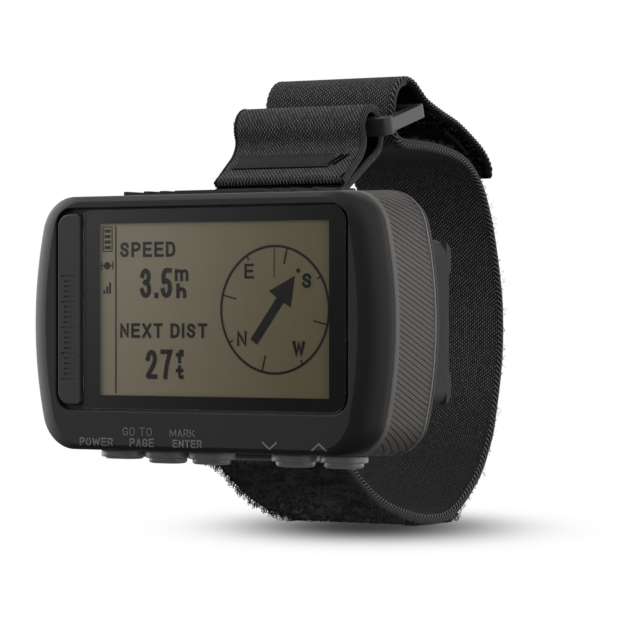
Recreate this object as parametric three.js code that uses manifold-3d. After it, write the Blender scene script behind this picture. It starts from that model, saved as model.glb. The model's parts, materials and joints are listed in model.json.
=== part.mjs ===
// Wrist-worn GPS unit on its fabric strap, closed as if round a wrist.
// Millimetres, +Z up. The origin is on the ground under the middle of the whole object.
// The device faces -Y and the strap loop lies behind it, standing on its lowest curve.
// Inside the device group, x runs along the screen, y is the depth behind the front face
// and z is the height above the middle of the case.

import * as THREE from 'three';
import { mergeVertices } from 'three/addons/utils/BufferGeometryUtils.js';
import Module from 'manifold-3d';

// ---- Place of the device ------------------------------------------------------------------------
const FRONT_Y = -39.35;           // front face of the bezel
const MID_Z = 34.1;               // middle of the case above the ground

// ---- Case outline: a rectangle with bowed ends and round corners --------------------------------
const HALF_LENGTH = 33.7;         // where the bezel meets the grip band
const HALF_HEIGHT = 20.4;
const CORNER_R = 6.5;
const END_BOW_R = 69;

// ---- Depths behind the front face ---------------------------------------------------------------
const BEZEL_DEPTH = 4.1;
const BAND_FRONT = 4.4;
const BAND_BACK = 14.4;
const RIM_FRONT = 14.7;
const RIM_BACK = 16.2;
const HUMP_BACK = 21.5;
const EAR_BACK = 22.85;

// ---- Front bezel --------------------------------------------------------------------------------
const END_ROUND = 4.2;            // how far the front edge rounds back at the two ends
const LONG_ROUND = 1.6;           // and along the top and bottom
const BEZEL_SKIN = 2.3;           // front wall
const SIDE_WALL = 2.2;
const LENS_POCKET = 1.0;          // depth of the pocket for lens and nameplate
const SCREEN_X = 2.5;             // middle of the screen
const SCREEN_Z = 2.2;
const LENS_LEFT = -22.0;
const LENS_RIGHT = 27.4;
const LENS_HALF_H = 15.9;
const LENS_R = 2.5;               // right corners
const LENS_LEFT_R = 0.4;
const LENS_THICK = 0.7;
const LENS_SET = 0.1;             // how far the lens sits below the bezel face
const PLATE_LEFT = -27.15;
const PLATE_RIGHT = -22.5;
const PLATE_HALF_H = 15.4;
const PLATE_LEFT_R = 2.2;
const PLATE_RIGHT_R = 0.9;
const LCD_HALF_W = 21.9;
const LCD_HALF_H = 14.05;
const LCD_FRONT = 1.1;
const LCD_THICK = 1.6;

// ---- Grip band ----------------------------------------------------------------------------------
const BAND_FLARE_X = 1.05;        // growth of the band from front to back
const BAND_FLARE_Z = 1.025;
const PAD_HALF_L = 18.4;          // ribbed pad on top of the band
const PAD_TOP = 21.25;
const PAD_FRONT = 6.2;
const PAD_BACK = 11.8;
const PAD_SINK = 0.9;

// ---- Buttons along the bottom edge --------------------------------------------------------------
const BUTTON_Y = 8.6;
const BUTTON_NAMES = ['power', 'page', 'enter', 'down', 'up'];
const BUTTON_X = [-19.9, -11.3, -2.85, 13.0, 21.9];
const FLANGE_LOW = -21.75;
const FLANGE_TOP = -20.65;
const CAP_LOW = -22.65;
const POWER_CAP_LOW = -22.05;
const POCKET_FLOOR = -19.75;      // bottom of the pocket that the flange travels in
const STEM_TOP = -17.9;
const SWITCH_LOW = -17.0;
const KEY_BOARD_LOW = -15.3;

// ---- Batteries: two AAA cells lying side by side ------------------------------------------------
const CELL_R = 5.25;
const CELL_LENGTH = 44.5;
const CELL_Y = 13.85;
const CELL_Z = 5.5;
const BAY_HALF_L = 24.6;
const BAY_HALF_H = 11.3;
const BAY_FLOOR = 8.3;
const LEDGE_Y = 18.7;
const COVER_FRONT = 19.6;
const COVER_BACK = 21.3;
const COVER_HALF_L = 27.5;
const COVER_HALF_H = 11.9;
const LATCH_X = 28.4;

// ---- Strap --------------------------------------------------------------------------------------
const STRAP_WIDTH = 25;
const STRAP_THICK = 1.6;
const WEBBING_THICK = 1.2;
const HOOK_WIDTH = 22;
const HOOK_THICK = 0.8;
const BAR_R = 1.0;
const BAR_Y = 19.4;               // depth of both strap bars behind the front face
const BAR_Z = 19.5;               // above and below the middle of the case
const LUG_INNER = 13.3;
const LUG_OUTER = 16.3;
const BAR_WRAP_R = 2.05;          // middle of the strap round a bar
const RING_HALF_W = 15.3;
const RING_BAR = 2.4;
const RING_ARM = 1.9;
const RING_THICK = 2.2;
const RING_LIP = 2.9;              // the front bar is thicker
const RING_FRONT_R = 2.0;          // outer corners
const RING_REAR_R = 0.8;
const RING_FRONT = [-6.4, 66.3];  // middle of the ring's front bar, as Y and Z
const RING_REAR = [3.9, 69.2];
const RING_SHIFT = 0.7;            // the ring hangs to the right, against the webbing's left edge
const HINGE_END = [9.4, 72.8];    // where the worn strap ends and its loose tail begins

const GAP = 0.3;                  // between pieces that touch
const OVER = 1;                   // how far a cutter runs past the surface it opens
const WELD = 0.1;                 // how far joined solids run into each other

const wasm = await Module();
wasm.setup();

// ---- Finishes -----------------------------------------------------------------------------------
function finish(color, roughness, metalness = 0) {
  return new THREE.MeshStandardMaterial({ color, roughness, metalness });
}
const matteBlack = finish(0x2b2d2f, 0.6);
const platePlastic = finish(0x1b1c1e, 0.45);
const glass = finish(0x15171a, 0.08);
const display = finish(0x6b6650, 0.35);
const gripGrey = finish(0x6a655f, 0.7);
const rubber = finish(0x232425, 0.85);
const keyGrey = finish(0x4c4a48, 0.45, 0.3);
const housing = finish(0x3d3f41, 0.65);
const steel = finish(0xa9abad, 0.3, 1);
const board = finish(0x1f5a36, 0.5);
const ceramic = finish(0xcfc6b0, 0.6);
const lightGuide = finish(0xe8ecef, 0.2);
const cellWrap = finish(0x2f5f9c, 0.35, 0.4);
const knit = finish(0x262728, 0.95);
const webbing = finish(0x2c2c2d, 0.9);
const satinPlastic = finish(0x333536, 0.4);

// ---- Building blocks ----------------------------------------------------------------------------
function piece(name, geometry, material) {
  const mesh = new THREE.Mesh(geometry, material);
  mesh.name = name;
  return mesh;
}

function solid(geometry) {
  const bare = geometry.clone();
  bare.deleteAttribute('normal');
  bare.deleteAttribute('uv');
  const merged = mergeVertices(bare, 1e-4);
  return new wasm.Manifold(new wasm.Mesh({
    numProp: 3,
    vertProperties: new Float32Array(merged.attributes.position.array),
    triVerts: new Uint32Array(merged.index.array),
  }));
}

function geometryOf(manifold) {
  const mesh = manifold.getMesh();
  const geometry = new THREE.BufferGeometry();
  geometry.setAttribute('position', new THREE.BufferAttribute(mesh.vertProperties, 3));
  geometry.setIndex(new THREE.BufferAttribute(mesh.triVerts, 1));
  geometry.computeVertexNormals();
  return geometry;
}

function combine(base, joined, cuts = []) {
  let result = solid(base);
  for (const part of joined) result = result.add(solid(part));
  for (const part of cuts) result = result.subtract(solid(part));
  return geometryOf(result);
}

function block(x0, x1, y0, y1, z0, z1) {
  const box = new THREE.BoxGeometry(x1 - x0, y1 - y0, z1 - z0);
  return box.translate((x0 + x1) / 2, (y0 + y1) / 2, (z0 + z1) / 2);
}

// A rectangle with round corners; those on the left can have their own radius.
function roundedRect(x0, x1, z0, z1, r, left = r) {
  const shape = new THREE.Shape();
  shape.moveTo(x0 + left, z0);
  shape.lineTo(x1 - r, z0);
  shape.absarc(x1 - r, z0 + r, r, -Math.PI / 2, 0);
  shape.absarc(x1 - r, z1 - r, r, 0, Math.PI / 2);
  shape.absarc(x0 + left, z1 - left, left, Math.PI / 2, Math.PI);
  shape.absarc(x0 + left, z0 + left, left, Math.PI, 1.5 * Math.PI);
  return shape;
}

// The case outline, drawn inwards by `inset`: straight top and bottom, round corners, bowed ends.
function caseOutline(inset) {
  const bow = END_BOW_R - inset;
  const corner = CORNER_R - inset;
  const bowCentre = HALF_LENGTH - END_BOW_R;
  const cornerZ = HALF_HEIGHT - CORNER_R;
  const tilt = Math.asin(cornerZ / (END_BOW_R - CORNER_R));
  const cornerX = bowCentre + (END_BOW_R - CORNER_R) * Math.cos(tilt);
  const shape = new THREE.Shape();
  shape.moveTo(-cornerX, -cornerZ - corner);
  shape.lineTo(cornerX, -cornerZ - corner);
  shape.absarc(cornerX, -cornerZ, corner, -Math.PI / 2, -tilt);
  shape.absarc(bowCentre, 0, bow, -tilt, tilt);
  shape.absarc(cornerX, cornerZ, corner, tilt, Math.PI / 2);
  shape.lineTo(-cornerX, cornerZ + corner);
  shape.absarc(-cornerX, cornerZ, corner, Math.PI / 2, Math.PI - tilt);
  shape.absarc(-bowCentre, 0, bow, Math.PI - tilt, Math.PI + tilt);
  shape.absarc(-cornerX, -cornerZ, corner, Math.PI + tilt, 1.5 * Math.PI);
  return shape;
}

// A shape drawn in X and Z, given thickness from depth y0 to y1.
function slab(shape, y0, y1, curveSegments = 4, steps = 1) {
  const options = { depth: y1 - y0, steps, curveSegments, bevelEnabled: false };
  const geometry = new THREE.ExtrudeGeometry(shape, options);
  return geometry.rotateX(Math.PI / 2).translate(0, y1, 0);
}

// Moves each level of a slab: `place` turns its depth into a new depth and two scales.
function reshape(geometry, place) {
  const points = geometry.attributes.position;
  for (let i = 0; i < points.count; i += 1) {
    const level = place(points.getY(i));
    points.setXYZ(i, points.getX(i) * level.x, level.y, points.getZ(i) * level.z);
  }
  return geometry;
}

function cylinderY(x, z, radius, y0, y1, segments = 12) {
  const geometry = new THREE.CylinderGeometry(radius, radius, y1 - y0, segments);
  return geometry.translate(x, (y0 + y1) / 2, z);
}

function cylinderX(y, z, radius, x0, x1, segments = 12) {
  const geometry = new THREE.CylinderGeometry(radius, radius, x1 - x0, segments);
  return geometry.rotateZ(Math.PI / 2).translate((x0 + x1) / 2, y, z);
}

// A shape drawn in Y and Z, given a width along X about the middle.
function acrossX(shape, width, curveSegments = 6) {
  const geometry = new THREE.ExtrudeGeometry(shape, { depth: width, curveSegments, bevelEnabled: false });
  const alongY = new THREE.Vector3(0, 1, 0);
  const alongZ = new THREE.Vector3(0, 0, 1);
  const alongX = new THREE.Vector3(1, 0, 0);
  geometry.applyMatrix4(new THREE.Matrix4().makeBasis(alongY, alongZ, alongX));
  return geometry.translate(-width / 2, 0, 0);
}

// The points of a smooth curve through `route`, moved sideways by `offset`.
function sidePoints(route, offset, count, closed) {
  const nodes = route.map(([y, z]) => new THREE.Vector3(y, z, 0));
  const curve = new THREE.CatmullRomCurve3(nodes, closed, 'centripetal');
  const points = [];
  const last = closed ? count - 1 : count;
  for (let i = 0; i <= last; i += 1) {
    const at = curve.getPointAt(i / count);
    const along = curve.getTangentAt(i / count);
    points.push(new THREE.Vector2(at.x - along.y * offset, at.y + along.x * offset));
  }
  return points;
}

// A strip of fabric of even thickness along a route in Y and Z.
function strip(route, thickness, count) {
  const left = sidePoints(route, thickness / 2, count, false);
  const right = sidePoints(route, -thickness / 2, count, false);
  return new THREE.Shape([...right, ...left.reverse()]);
}

// The same along a closed route that runs anticlockwise.
function closedStrip(route, thickness, count) {
  const shape = new THREE.Shape(sidePoints(route, -thickness / 2, count, true));
  shape.holes.push(new THREE.Path(sidePoints(route, thickness / 2, count, true)));
  return shape;
}

// ---- Front: bezel, nameplate, lens and display --------------------------------------------------
const SCREW_PLACES = [[-26.8, 15.1], [26.8, 15.1], [26.8, -15.1], [-26.8, -15.1]];
const SCREW_SHANK_R = 0.7;
const SCREW_HEAD_R = 1.5;
const POST_R = 1.6;
const POST_FRONT = 1.5;
const POST_BACK = 5.2;
const POST_HOLE_FRONT = 1.9;
const WINDOW_R = 0.6;
const SCREW_HEAD_SINK = 0.7;
const TONGUE_FRONT = 17.6;        // the latch's tongue, as a depth

// Half sizes of the bezel at a depth: the front edge is a quarter ellipse.
function bezelLevel(turn) {
  const depth = BEZEL_DEPTH * (1 - Math.cos(turn));
  const length = HALF_LENGTH - END_ROUND * (1 - Math.sin(turn));
  const left = Math.max(0, 1 - depth / LONG_ROUND);
  const height = HALF_HEIGHT - LONG_ROUND * (1 - Math.sqrt(1 - left * left));
  return { x: length / HALF_LENGTH, y: depth, z: height / HALF_HEIGHT };
}

function frontBezel() {
  const levels = 6;
  const body = slab(caseOutline(0), 0, BEZEL_DEPTH, 5, levels);
  reshape(body, (y) => bezelLevel((y / BEZEL_DEPTH) * (Math.PI / 2)));
  const posts = SCREW_PLACES.map(([x, z]) => cylinderY(x, z, POST_R, POST_FRONT, POST_BACK));
  const hollow = slab(caseOutline(SIDE_WALL), BEZEL_SKIN, BEZEL_DEPTH + OVER, 4);
  const pocket = roundedRect(PLATE_LEFT - GAP, LENS_RIGHT + GAP, SCREEN_Z - LENS_HALF_H - GAP,
    SCREEN_Z + LENS_HALF_H + GAP, LENS_R + GAP);
  const window = roundedRect(SCREEN_X - LCD_HALF_W - GAP, SCREEN_X + LCD_HALF_W + GAP,
    SCREEN_Z - LCD_HALF_H - GAP, SCREEN_Z + LCD_HALF_H + GAP, WINDOW_R);
  const holes = SCREW_PLACES.map(([x, z]) => {
    return cylinderY(x, z, SCREW_SHANK_R + GAP, POST_HOLE_FRONT, POST_BACK + OVER);
  });
  const cuts = [slab(pocket, -OVER, LENS_POCKET), slab(window, 0, BEZEL_SKIN + OVER), ...holes];
  return piece('front_bezel', combine(combine(body, [], [hollow]), posts, cuts), matteBlack);
}

function nameplate() {
  const outline = roundedRect(PLATE_LEFT, PLATE_RIGHT, SCREEN_Z - PLATE_HALF_H, SCREEN_Z + PLATE_HALF_H,
    PLATE_RIGHT_R, PLATE_LEFT_R);
  return piece('nameplate', slab(outline, LENS_SET, LENS_SET + LENS_THICK), platePlastic);
}

function displayLens() {
  const outline = roundedRect(LENS_LEFT, LENS_RIGHT, SCREEN_Z - LENS_HALF_H, SCREEN_Z + LENS_HALF_H,
    LENS_R, LENS_LEFT_R);
  return piece('display_lens', slab(outline, LENS_SET, LENS_SET + LENS_THICK), glass);
}

function lcdPanel() {
  const body = block(SCREEN_X - LCD_HALF_W, SCREEN_X + LCD_HALF_W, LCD_FRONT, LCD_FRONT + LCD_THICK,
    SCREEN_Z - LCD_HALF_H, SCREEN_Z + LCD_HALF_H);
  return piece('lcd_panel', body, display);
}

// The light guide and the steel tray are sheets of one size behind the display.
const SHEET_HALF_W = 22.6;
const SHEET_HALF_H = 15.2;
const SHEET_THICK = 0.9;
const GUIDE_FRONT = 3.0;
const TRAY_FRONT = 4.2;
const TRAY_FRAME = 6.3;           // width of the frame round the tray's opening

function sheetBehindDisplay(margin, y0, y1) {
  const halfW = SHEET_HALF_W - margin;
  const halfH = SHEET_HALF_H - margin;
  return block(SCREEN_X - halfW, SCREEN_X + halfW, y0, y1, SCREEN_Z - halfH, SCREEN_Z + halfH);
}

function backlightGuide() {
  const sheet = sheetBehindDisplay(0, GUIDE_FRONT, GUIDE_FRONT + SHEET_THICK);
  return piece('backlight_guide', sheet, lightGuide);
}

function lcdTray() {
  const sheet = sheetBehindDisplay(0, TRAY_FRONT, TRAY_FRONT + SHEET_THICK);
  const opening = sheetBehindDisplay(TRAY_FRAME, TRAY_FRONT - OVER, TRAY_FRONT + SHEET_THICK + OVER);
  return piece('lcd_tray', combine(sheet, [], [opening]), steel);
}

// ---- Middle: grip band, pad, boards and buttons -------------------------------------------------
const BAND_START_Z = 1.008;        // growth of the band's height at its front
const CASE_BELOW = -25;            // clear of the case, below it and on its left
const CASE_LEFT = -40;
const KEY_POCKET = [4.35, 3.05];   // half length and half depth of each stadium shape
const KEY_SHAFT = [2.9, 1.8];
const KEY_SHAFT_TOP = -15;
const KEY_FLANGE = [4.0, 2.7];
const KEY_CAP = [3.3, 2.1];
const KEY_STEM = [2.5, 1.4];
const PAD_THICK = 1.6;
const PAD_NOTCHES = [
  [-17.6, -14.5], [-13.4, -11.4], [-10.2, -8.5], [8.5, 10.2], [11.4, 13.4], [14.5, 17.6],
];
const PAD_NOTCH_DEPTH = 0.45;
const USB_HINGE = [-34.0, 11.5];   // x and depth of the cap's hinge line
const FLAP_THICK = 0.8;
const FLAP_REACH = 5.8;            // forward from the hinge line
const FLAP_HALF_H = 5.1;
const FLAP_ROOM = 0.5;
const PLUG_TIP = 2.4;              // inwards from the hinge line
const PLUG_DEPTHS = [3.9, 1.6];    // forward from the hinge line
const PLUG_HALF_H = 3.6;
const PORT_HOLE_DEPTHS = [4.6, 1.2];
const PORT_HOLE_HALF_H = 4.3;
const PORT_HOLE_INNER = -30;

function bandLevel(y) {
  const share = (y - BAND_FRONT) / (BAND_BACK - BAND_FRONT);
  return { x: 1 + (BAND_FLARE_X - 1) * share, y, z: BAND_START_Z + (BAND_FLARE_Z - BAND_START_Z) * share };
}

function stadium(x, halfX, halfY) {
  const shape = new THREE.Shape();
  shape.absarc(x + halfX - halfY, BUTTON_Y, halfY, -Math.PI / 2, Math.PI / 2);
  shape.absarc(x - halfX + halfY, BUTTON_Y, halfY, Math.PI / 2, 1.5 * Math.PI);
  return shape;
}

// A shape drawn in X and Y, given a height from z0 to z1.
function upright(shape, z0, z1, curveSegments = 5) {
  const options = { depth: z1 - z0, curveSegments, bevelEnabled: false };
  return new THREE.ExtrudeGeometry(shape, options).translate(0, 0, z0);
}

function gripBand() {
  const outer = reshape(slab(caseOutline(0), BAND_FRONT, BAND_BACK, 5), bandLevel);
  const inner = slab(caseOutline(SIDE_WALL), BAND_FRONT - OVER, BAND_BACK + OVER, 4);
  const padBed = block(-PAD_HALF_L - GAP, PAD_HALF_L + GAP, PAD_FRONT - GAP, PAD_BACK + GAP,
    PAD_TOP - PAD_THICK - PAD_SINK, PAD_TOP + OVER);
  const cuts = [inner, padBed];
  for (const x of BUTTON_X) {
    cuts.push(upright(stadium(x, ...KEY_POCKET), CASE_BELOW, POCKET_FLOOR));
    cuts.push(upright(stadium(x, ...KEY_SHAFT), CASE_BELOW, KEY_SHAFT_TOP));
  }
  const [hingeX, hingeY] = USB_HINGE;
  const [holeFront, holeBack] = PORT_HOLE_DEPTHS;
  const bedHalfH = FLAP_HALF_H + FLAP_ROOM;
  cuts.push(block(CASE_LEFT, hingeX + FLAP_THICK + GAP, hingeY - FLAP_REACH - FLAP_ROOM, hingeY + FLAP_ROOM,
    -bedHalfH, bedHalfH));
  cuts.push(block(CASE_LEFT, PORT_HOLE_INNER, hingeY - holeFront, hingeY - holeBack,
    -PORT_HOLE_HALF_H, PORT_HOLE_HALF_H));
  return piece('grip_band', combine(outer, [], cuts), gripGrey);
}

function topGripPad() {
  const low = PAD_TOP - PAD_THICK - PAD_SINK + GAP;
  const outline = new THREE.Shape();
  outline.moveTo(-PAD_HALF_L, low);
  outline.lineTo(PAD_HALF_L, low);
  outline.lineTo(PAD_HALF_L, PAD_TOP);
  for (const [from, to] of [...PAD_NOTCHES].reverse()) {
    outline.lineTo(to, PAD_TOP);
    outline.lineTo(to, PAD_TOP - PAD_NOTCH_DEPTH);
    outline.lineTo(from, PAD_TOP - PAD_NOTCH_DEPTH);
    outline.lineTo(from, PAD_TOP);
  }
  outline.lineTo(-PAD_HALF_L, PAD_TOP);
  return piece('top_grip_pad', slab(outline, PAD_FRONT, PAD_BACK), rubber);
}

function button(name, x) {
  const capLow = name === 'power' ? POWER_CAP_LOW : CAP_LOW;
  const flange = upright(stadium(x, ...KEY_FLANGE), FLANGE_LOW, FLANGE_TOP);
  const cap = upright(stadium(x, ...KEY_CAP), capLow, FLANGE_LOW + WELD);
  const stem = upright(stadium(x, ...KEY_STEM), FLANGE_TOP - WELD, STEM_TOP);
  return piece(`${name}_button`, combine(flange, [cap, stem]), keyGrey);
}

const SWITCH_HALF_L = 2.2;
const SWITCH_HALF_W = 1.7;
const PLUNGER_R = 1.0;
const PLUNGER_REACH = 0.5;
const SOLDER_GAP = 0.2;            // between a switch and its board
const BOARD_THICK = 0.8;
const KEY_BOARD_ENDS = [-24.5, 25.0];
const KEY_BOARD_DEPTHS = [6.2, 10.9];

function keySwitch(index) {
  const x = BUTTON_X[index];
  const body = block(x - SWITCH_HALF_L, x + SWITCH_HALF_L, BUTTON_Y - SWITCH_HALF_W, BUTTON_Y + SWITCH_HALF_W,
    SWITCH_LOW + PLUNGER_REACH, KEY_BOARD_LOW - SOLDER_GAP);
  const plunger = cylinderY(0, 0, PLUNGER_R, 0, PLUNGER_REACH + WELD).rotateX(Math.PI / 2);
  plunger.translate(x, BUTTON_Y, SWITCH_LOW);
  return piece(`key_switch_${index + 1}`, combine(body, [plunger]), steel);
}

function keyBoard() {
  const sheet = block(...KEY_BOARD_ENDS, ...KEY_BOARD_DEPTHS, KEY_BOARD_LOW, KEY_BOARD_LOW + BOARD_THICK);
  return piece('key_board', sheet, board);
}

const GASKET_INSET = 2.5;
const GASKET_WIDTH = 0.5;
const GASKET_FRONT = 3.3;
const GASKET_BACK = 5.3;

function caseGasket() {
  const ring = slab(caseOutline(GASKET_INSET), GASKET_FRONT, GASKET_BACK);
  const hole = slab(caseOutline(GASKET_INSET + GASKET_WIDTH), GASKET_FRONT - OVER, GASKET_BACK + OVER);
  return piece('case_gasket', combine(ring, [], [hole]), rubber);
}

const BOARD_HALF_L = 29.6;
const BOARD_HALF_H = 13.9;
const BOARD_R = 2;
const BOARD_FRONT = 6.4;

function mainBoard() {
  const outline = roundedRect(-BOARD_HALF_L, BOARD_HALF_L, -BOARD_HALF_H, BOARD_HALF_H, BOARD_R);
  return piece('main_board', slab(outline, BOARD_FRONT, BOARD_FRONT + BOARD_THICK), board);
}

// Parts on or beside the main board: their limits along x, in depth and in height.
const SHIELD_CAN = [-12, 8, 5.4, 6.2, -8, 8];
const GPS_ANTENNA = [-11, 11, 5.6, 11.6, 15.3, 17.6];
const ALTIMETER = [-20, -17.2, 7.4, 8.6, 12.6, 13.8];
const USB_SHELL = [-31.0, -26.1, 7.5, 10.1, -3.9, 3.9];
const USB_MOUTH = [-32, -27.2, 7.9, 9.7, -3.5, 3.5];
const BEEPER = { x: 27.9, z: -6, radius: 2.0, front: 7.4, back: 9.6 };

function boardParts() {
  const group = new THREE.Group();
  const can = cylinderY(BEEPER.x, BEEPER.z, BEEPER.radius, BEEPER.front, BEEPER.back);
  group.add(piece('shield_can', block(...SHIELD_CAN), steel));
  group.add(piece('gps_antenna', block(...GPS_ANTENNA), ceramic));
  group.add(piece('altimeter_sensor', block(...ALTIMETER), steel));
  group.add(piece('beeper', can, matteBlack));
  group.add(piece('usb_port', combine(block(...USB_SHELL), [], [block(...USB_MOUTH)]), steel));
  return group;
}

function usbCap() {
  const [hingeX, hingeY] = USB_HINGE;
  const [plugFront, plugBack] = PLUG_DEPTHS;
  const flap = block(hingeX, hingeX + FLAP_THICK, hingeY - FLAP_REACH, hingeY, -FLAP_HALF_H, FLAP_HALF_H);
  const plug = block(hingeX + FLAP_THICK - WELD, hingeX + PLUG_TIP, hingeY - plugFront, hingeY - plugBack,
    -PLUG_HALF_H, PLUG_HALF_H);
  return piece('usb_cap', combine(flap, [plug]), rubber);
}

// ---- Back: housing, batteries, cover and latch --------------------------------------------------
const COVER_R = 2.5;
const COVER_TAB_HALF_H = 5;
const COVER_TAB_REACH = 3.2;       // past the latch

// The cover's outline, grown all round: a round-cornered plate with a tab for the latch at the right.
function coverOutline(grow) {
  const tab = COVER_TAB_HALF_H + grow;
  const right = COVER_HALF_L + grow;
  const tip = LATCH_X + COVER_TAB_REACH + grow;
  const high = COVER_HALF_H + grow;
  const shape = new THREE.Shape();
  const r = COVER_R;
  shape.moveTo(-right + r, -high);
  shape.lineTo(right - r, -high);
  shape.absarc(right - r, -high + r, r, -Math.PI / 2, 0);
  shape.lineTo(right, -tab);
  shape.lineTo(tip - r, -tab);
  shape.absarc(tip - r, -tab + r, r, -Math.PI / 2, 0);
  shape.absarc(tip - r, tab - r, r, 0, Math.PI / 2);
  shape.lineTo(right, tab);
  shape.lineTo(right, high - r);
  shape.absarc(right - r, high - r, r, 0, Math.PI / 2);
  shape.absarc(-right + r, high - r, r, Math.PI / 2, Math.PI);
  shape.absarc(-right + r, -high + r, r, Math.PI, 1.5 * Math.PI);
  return shape;
}

const HUMP_HALF_L = 33;
const HUMP_HALF_H = 13.2;
const HUMP_R = 2.5;
const BAY_WALL = 1.0;
const BAY_R = 1.2;
const LUG_FRONT = 17.0;
const LUG_BACK = 21.4;
const LUG_TIP = 21.6;             // how far the lugs reach above and below the middle
const LUG_ROOT = 12.7;
const END_RAIL_X = 32.1;          // low rail between the ears of one end
const END_RAIL_BACK = 22.2;
const EAR_X = 28.6;
const EAR_LOW = 8.2;
const EAR_HIGH = 12.8;
const EAR_SLANT = 1.1;
const TONGUE_ROOM = [3.9, 4.4];   // half length and half height of the pocket the latch's tongue turns in
const TONGUE_ROOM_SHIFT = 0.5;
const TONGUE_CLEARANCE = 0.4;
const COVER_CLEARANCE = 0.4;
const BAY_SKIN = 0.8;
const RIM_GROW_X = 1.044;
const RIM_GROW_Z = 1.02;
const RIM_DRAWN_IN = 0.985;       // the rim's rear edge
const SCREW_HOLE_FRONT = 12.0;


// A block in one quarter of the case, given by the side and the level it lies on.
function cornerBlock(side, level, x0, x1, y0, y1, z0, z1) {
  const [left, right] = [side * x0, side * x1].sort((a, b) => a - b);
  const [low, high] = [level * z0, level * z1].sort((a, b) => a - b);
  return block(left, right, y0, y1, low, high);
}

// A foot on one corner of the hump, with slanting upper and lower faces.
function ear(side, level) {
  const shape = new THREE.Shape();
  shape.moveTo(HUMP_BACK - WELD, level * (EAR_LOW - EAR_SLANT));
  shape.lineTo(EAR_BACK, level * EAR_LOW);
  shape.lineTo(EAR_BACK, level * (EAR_HIGH - EAR_SLANT));
  shape.lineTo(HUMP_BACK - WELD, level * EAR_HIGH);
  return acrossX(shape, HUMP_HALF_L - EAR_X).translate((side * (HUMP_HALF_L + EAR_X)) / 2, 0, 0);
}

// The rim is drawn in a little on its rear edge.
function rimLevel(y) {
  const drawn = y < RIM_BACK - WELD ? 1 : RIM_DRAWN_IN;
  return { x: RIM_GROW_X * drawn, y, z: RIM_GROW_Z * drawn };
}

function rearHousing() {
  const rim = reshape(slab(caseOutline(0), RIM_FRONT, RIM_BACK, 5), rimLevel);
  const hump = slab(roundedRect(-HUMP_HALF_L, HUMP_HALF_L, -HUMP_HALF_H, HUMP_HALF_H, HUMP_R),
    RIM_BACK - WELD, HUMP_BACK);
  const tub = block(-BAY_HALF_L - BAY_WALL, BAY_HALF_L + BAY_WALL, BAY_FLOOR - BAY_SKIN, RIM_FRONT + WELD,
    -BAY_HALF_H - BAY_WALL, BAY_HALF_H + BAY_WALL);
  const joined = [hump, tub];
  const railFront = HUMP_BACK - WELD;
  for (const side of [-1, 1]) {
    joined.push(cornerBlock(side, 1, END_RAIL_X, HUMP_HALF_L, railFront, END_RAIL_BACK, -EAR_LOW, EAR_LOW));
    for (const level of [-1, 1]) {
      joined.push(ear(side, level));
      joined.push(cornerBlock(side, level, LUG_INNER, LUG_OUTER, LUG_FRONT, LUG_BACK, LUG_ROOT, LUG_TIP));
    }
  }
  const tongueX = LATCH_X - TONGUE_ROOM_SHIFT;
  const [roomX, roomZ] = TONGUE_ROOM;
  const cuts = [
    slab(roundedRect(-BAY_HALF_L, BAY_HALF_L, -BAY_HALF_H, BAY_HALF_H, BAY_R), BAY_FLOOR, HUMP_BACK + OVER),
    slab(coverOutline(COVER_CLEARANCE), LEDGE_Y, HUMP_BACK + OVER),
    block(tongueX - roomX, tongueX + roomX, TONGUE_FRONT - TONGUE_CLEARANCE, LEDGE_Y + WELD, -roomZ, roomZ),
    cylinderX(BAR_Y, BAR_Z, BAR_R + GAP, -LUG_OUTER - OVER, LUG_OUTER + OVER),
    cylinderX(BAR_Y, -BAR_Z, BAR_R + GAP, -LUG_OUTER - OVER, LUG_OUTER + OVER),
  ];
  for (const [x, z] of SCREW_PLACES) {
    cuts.push(cylinderY(x, z, SCREW_SHANK_R + GAP, SCREW_HOLE_FRONT, RIM_BACK + OVER));
    cuts.push(cylinderY(x, z, SCREW_HEAD_R + GAP, RIM_BACK - SCREW_HEAD_SINK, RIM_BACK + OVER + WELD));
  }
  return piece('rear_housing', combine(rim, joined, cuts), housing);
}

const CELL_EDGE = 0.5;             // chamfer of a cell's can
const CELL_START = 20.9;           // from the middle to a cell's flat end
const NUB_R = 1.9;
const NUB_REACH = 0.8;

function battery(number) {
  const side = number === 1 ? 1 : -1;
  const shoulder = CELL_LENGTH - NUB_REACH;
  const profile = [
    [0, 0], [CELL_R - CELL_EDGE, 0], [CELL_R, CELL_EDGE], [CELL_R, shoulder - CELL_EDGE],
    [CELL_R - CELL_EDGE, shoulder], [NUB_R, shoulder], [NUB_R, CELL_LENGTH], [0, CELL_LENGTH],
  ].map(([x, y]) => new THREE.Vector2(x, y));
  const cell = new THREE.LatheGeometry(profile, 18);
  const mesh = piece(`battery_${number}`, cell, cellWrap);
  mesh.rotation.z = -side * (Math.PI / 2);
  mesh.position.set(-side * CELL_START, CELL_Y, side * CELL_Z);
  return mesh;
}

const PLATE_X = 23.9;
const PLATE_THICK = 0.45;
const PLATE_DEPTHS = [9.0, 18.2];
const CONTACT_HALF_H = 10.4;
const SPRING_X = 23.45;
const SPRING_TURNS = 2;
const SPRING_R = 3.4;
const SPRING_TAPER = 0.5;          // lost from the radius with each turn
const SPRING_PITCH = 0.9;
const WIRE_R = 0.22;

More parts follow.
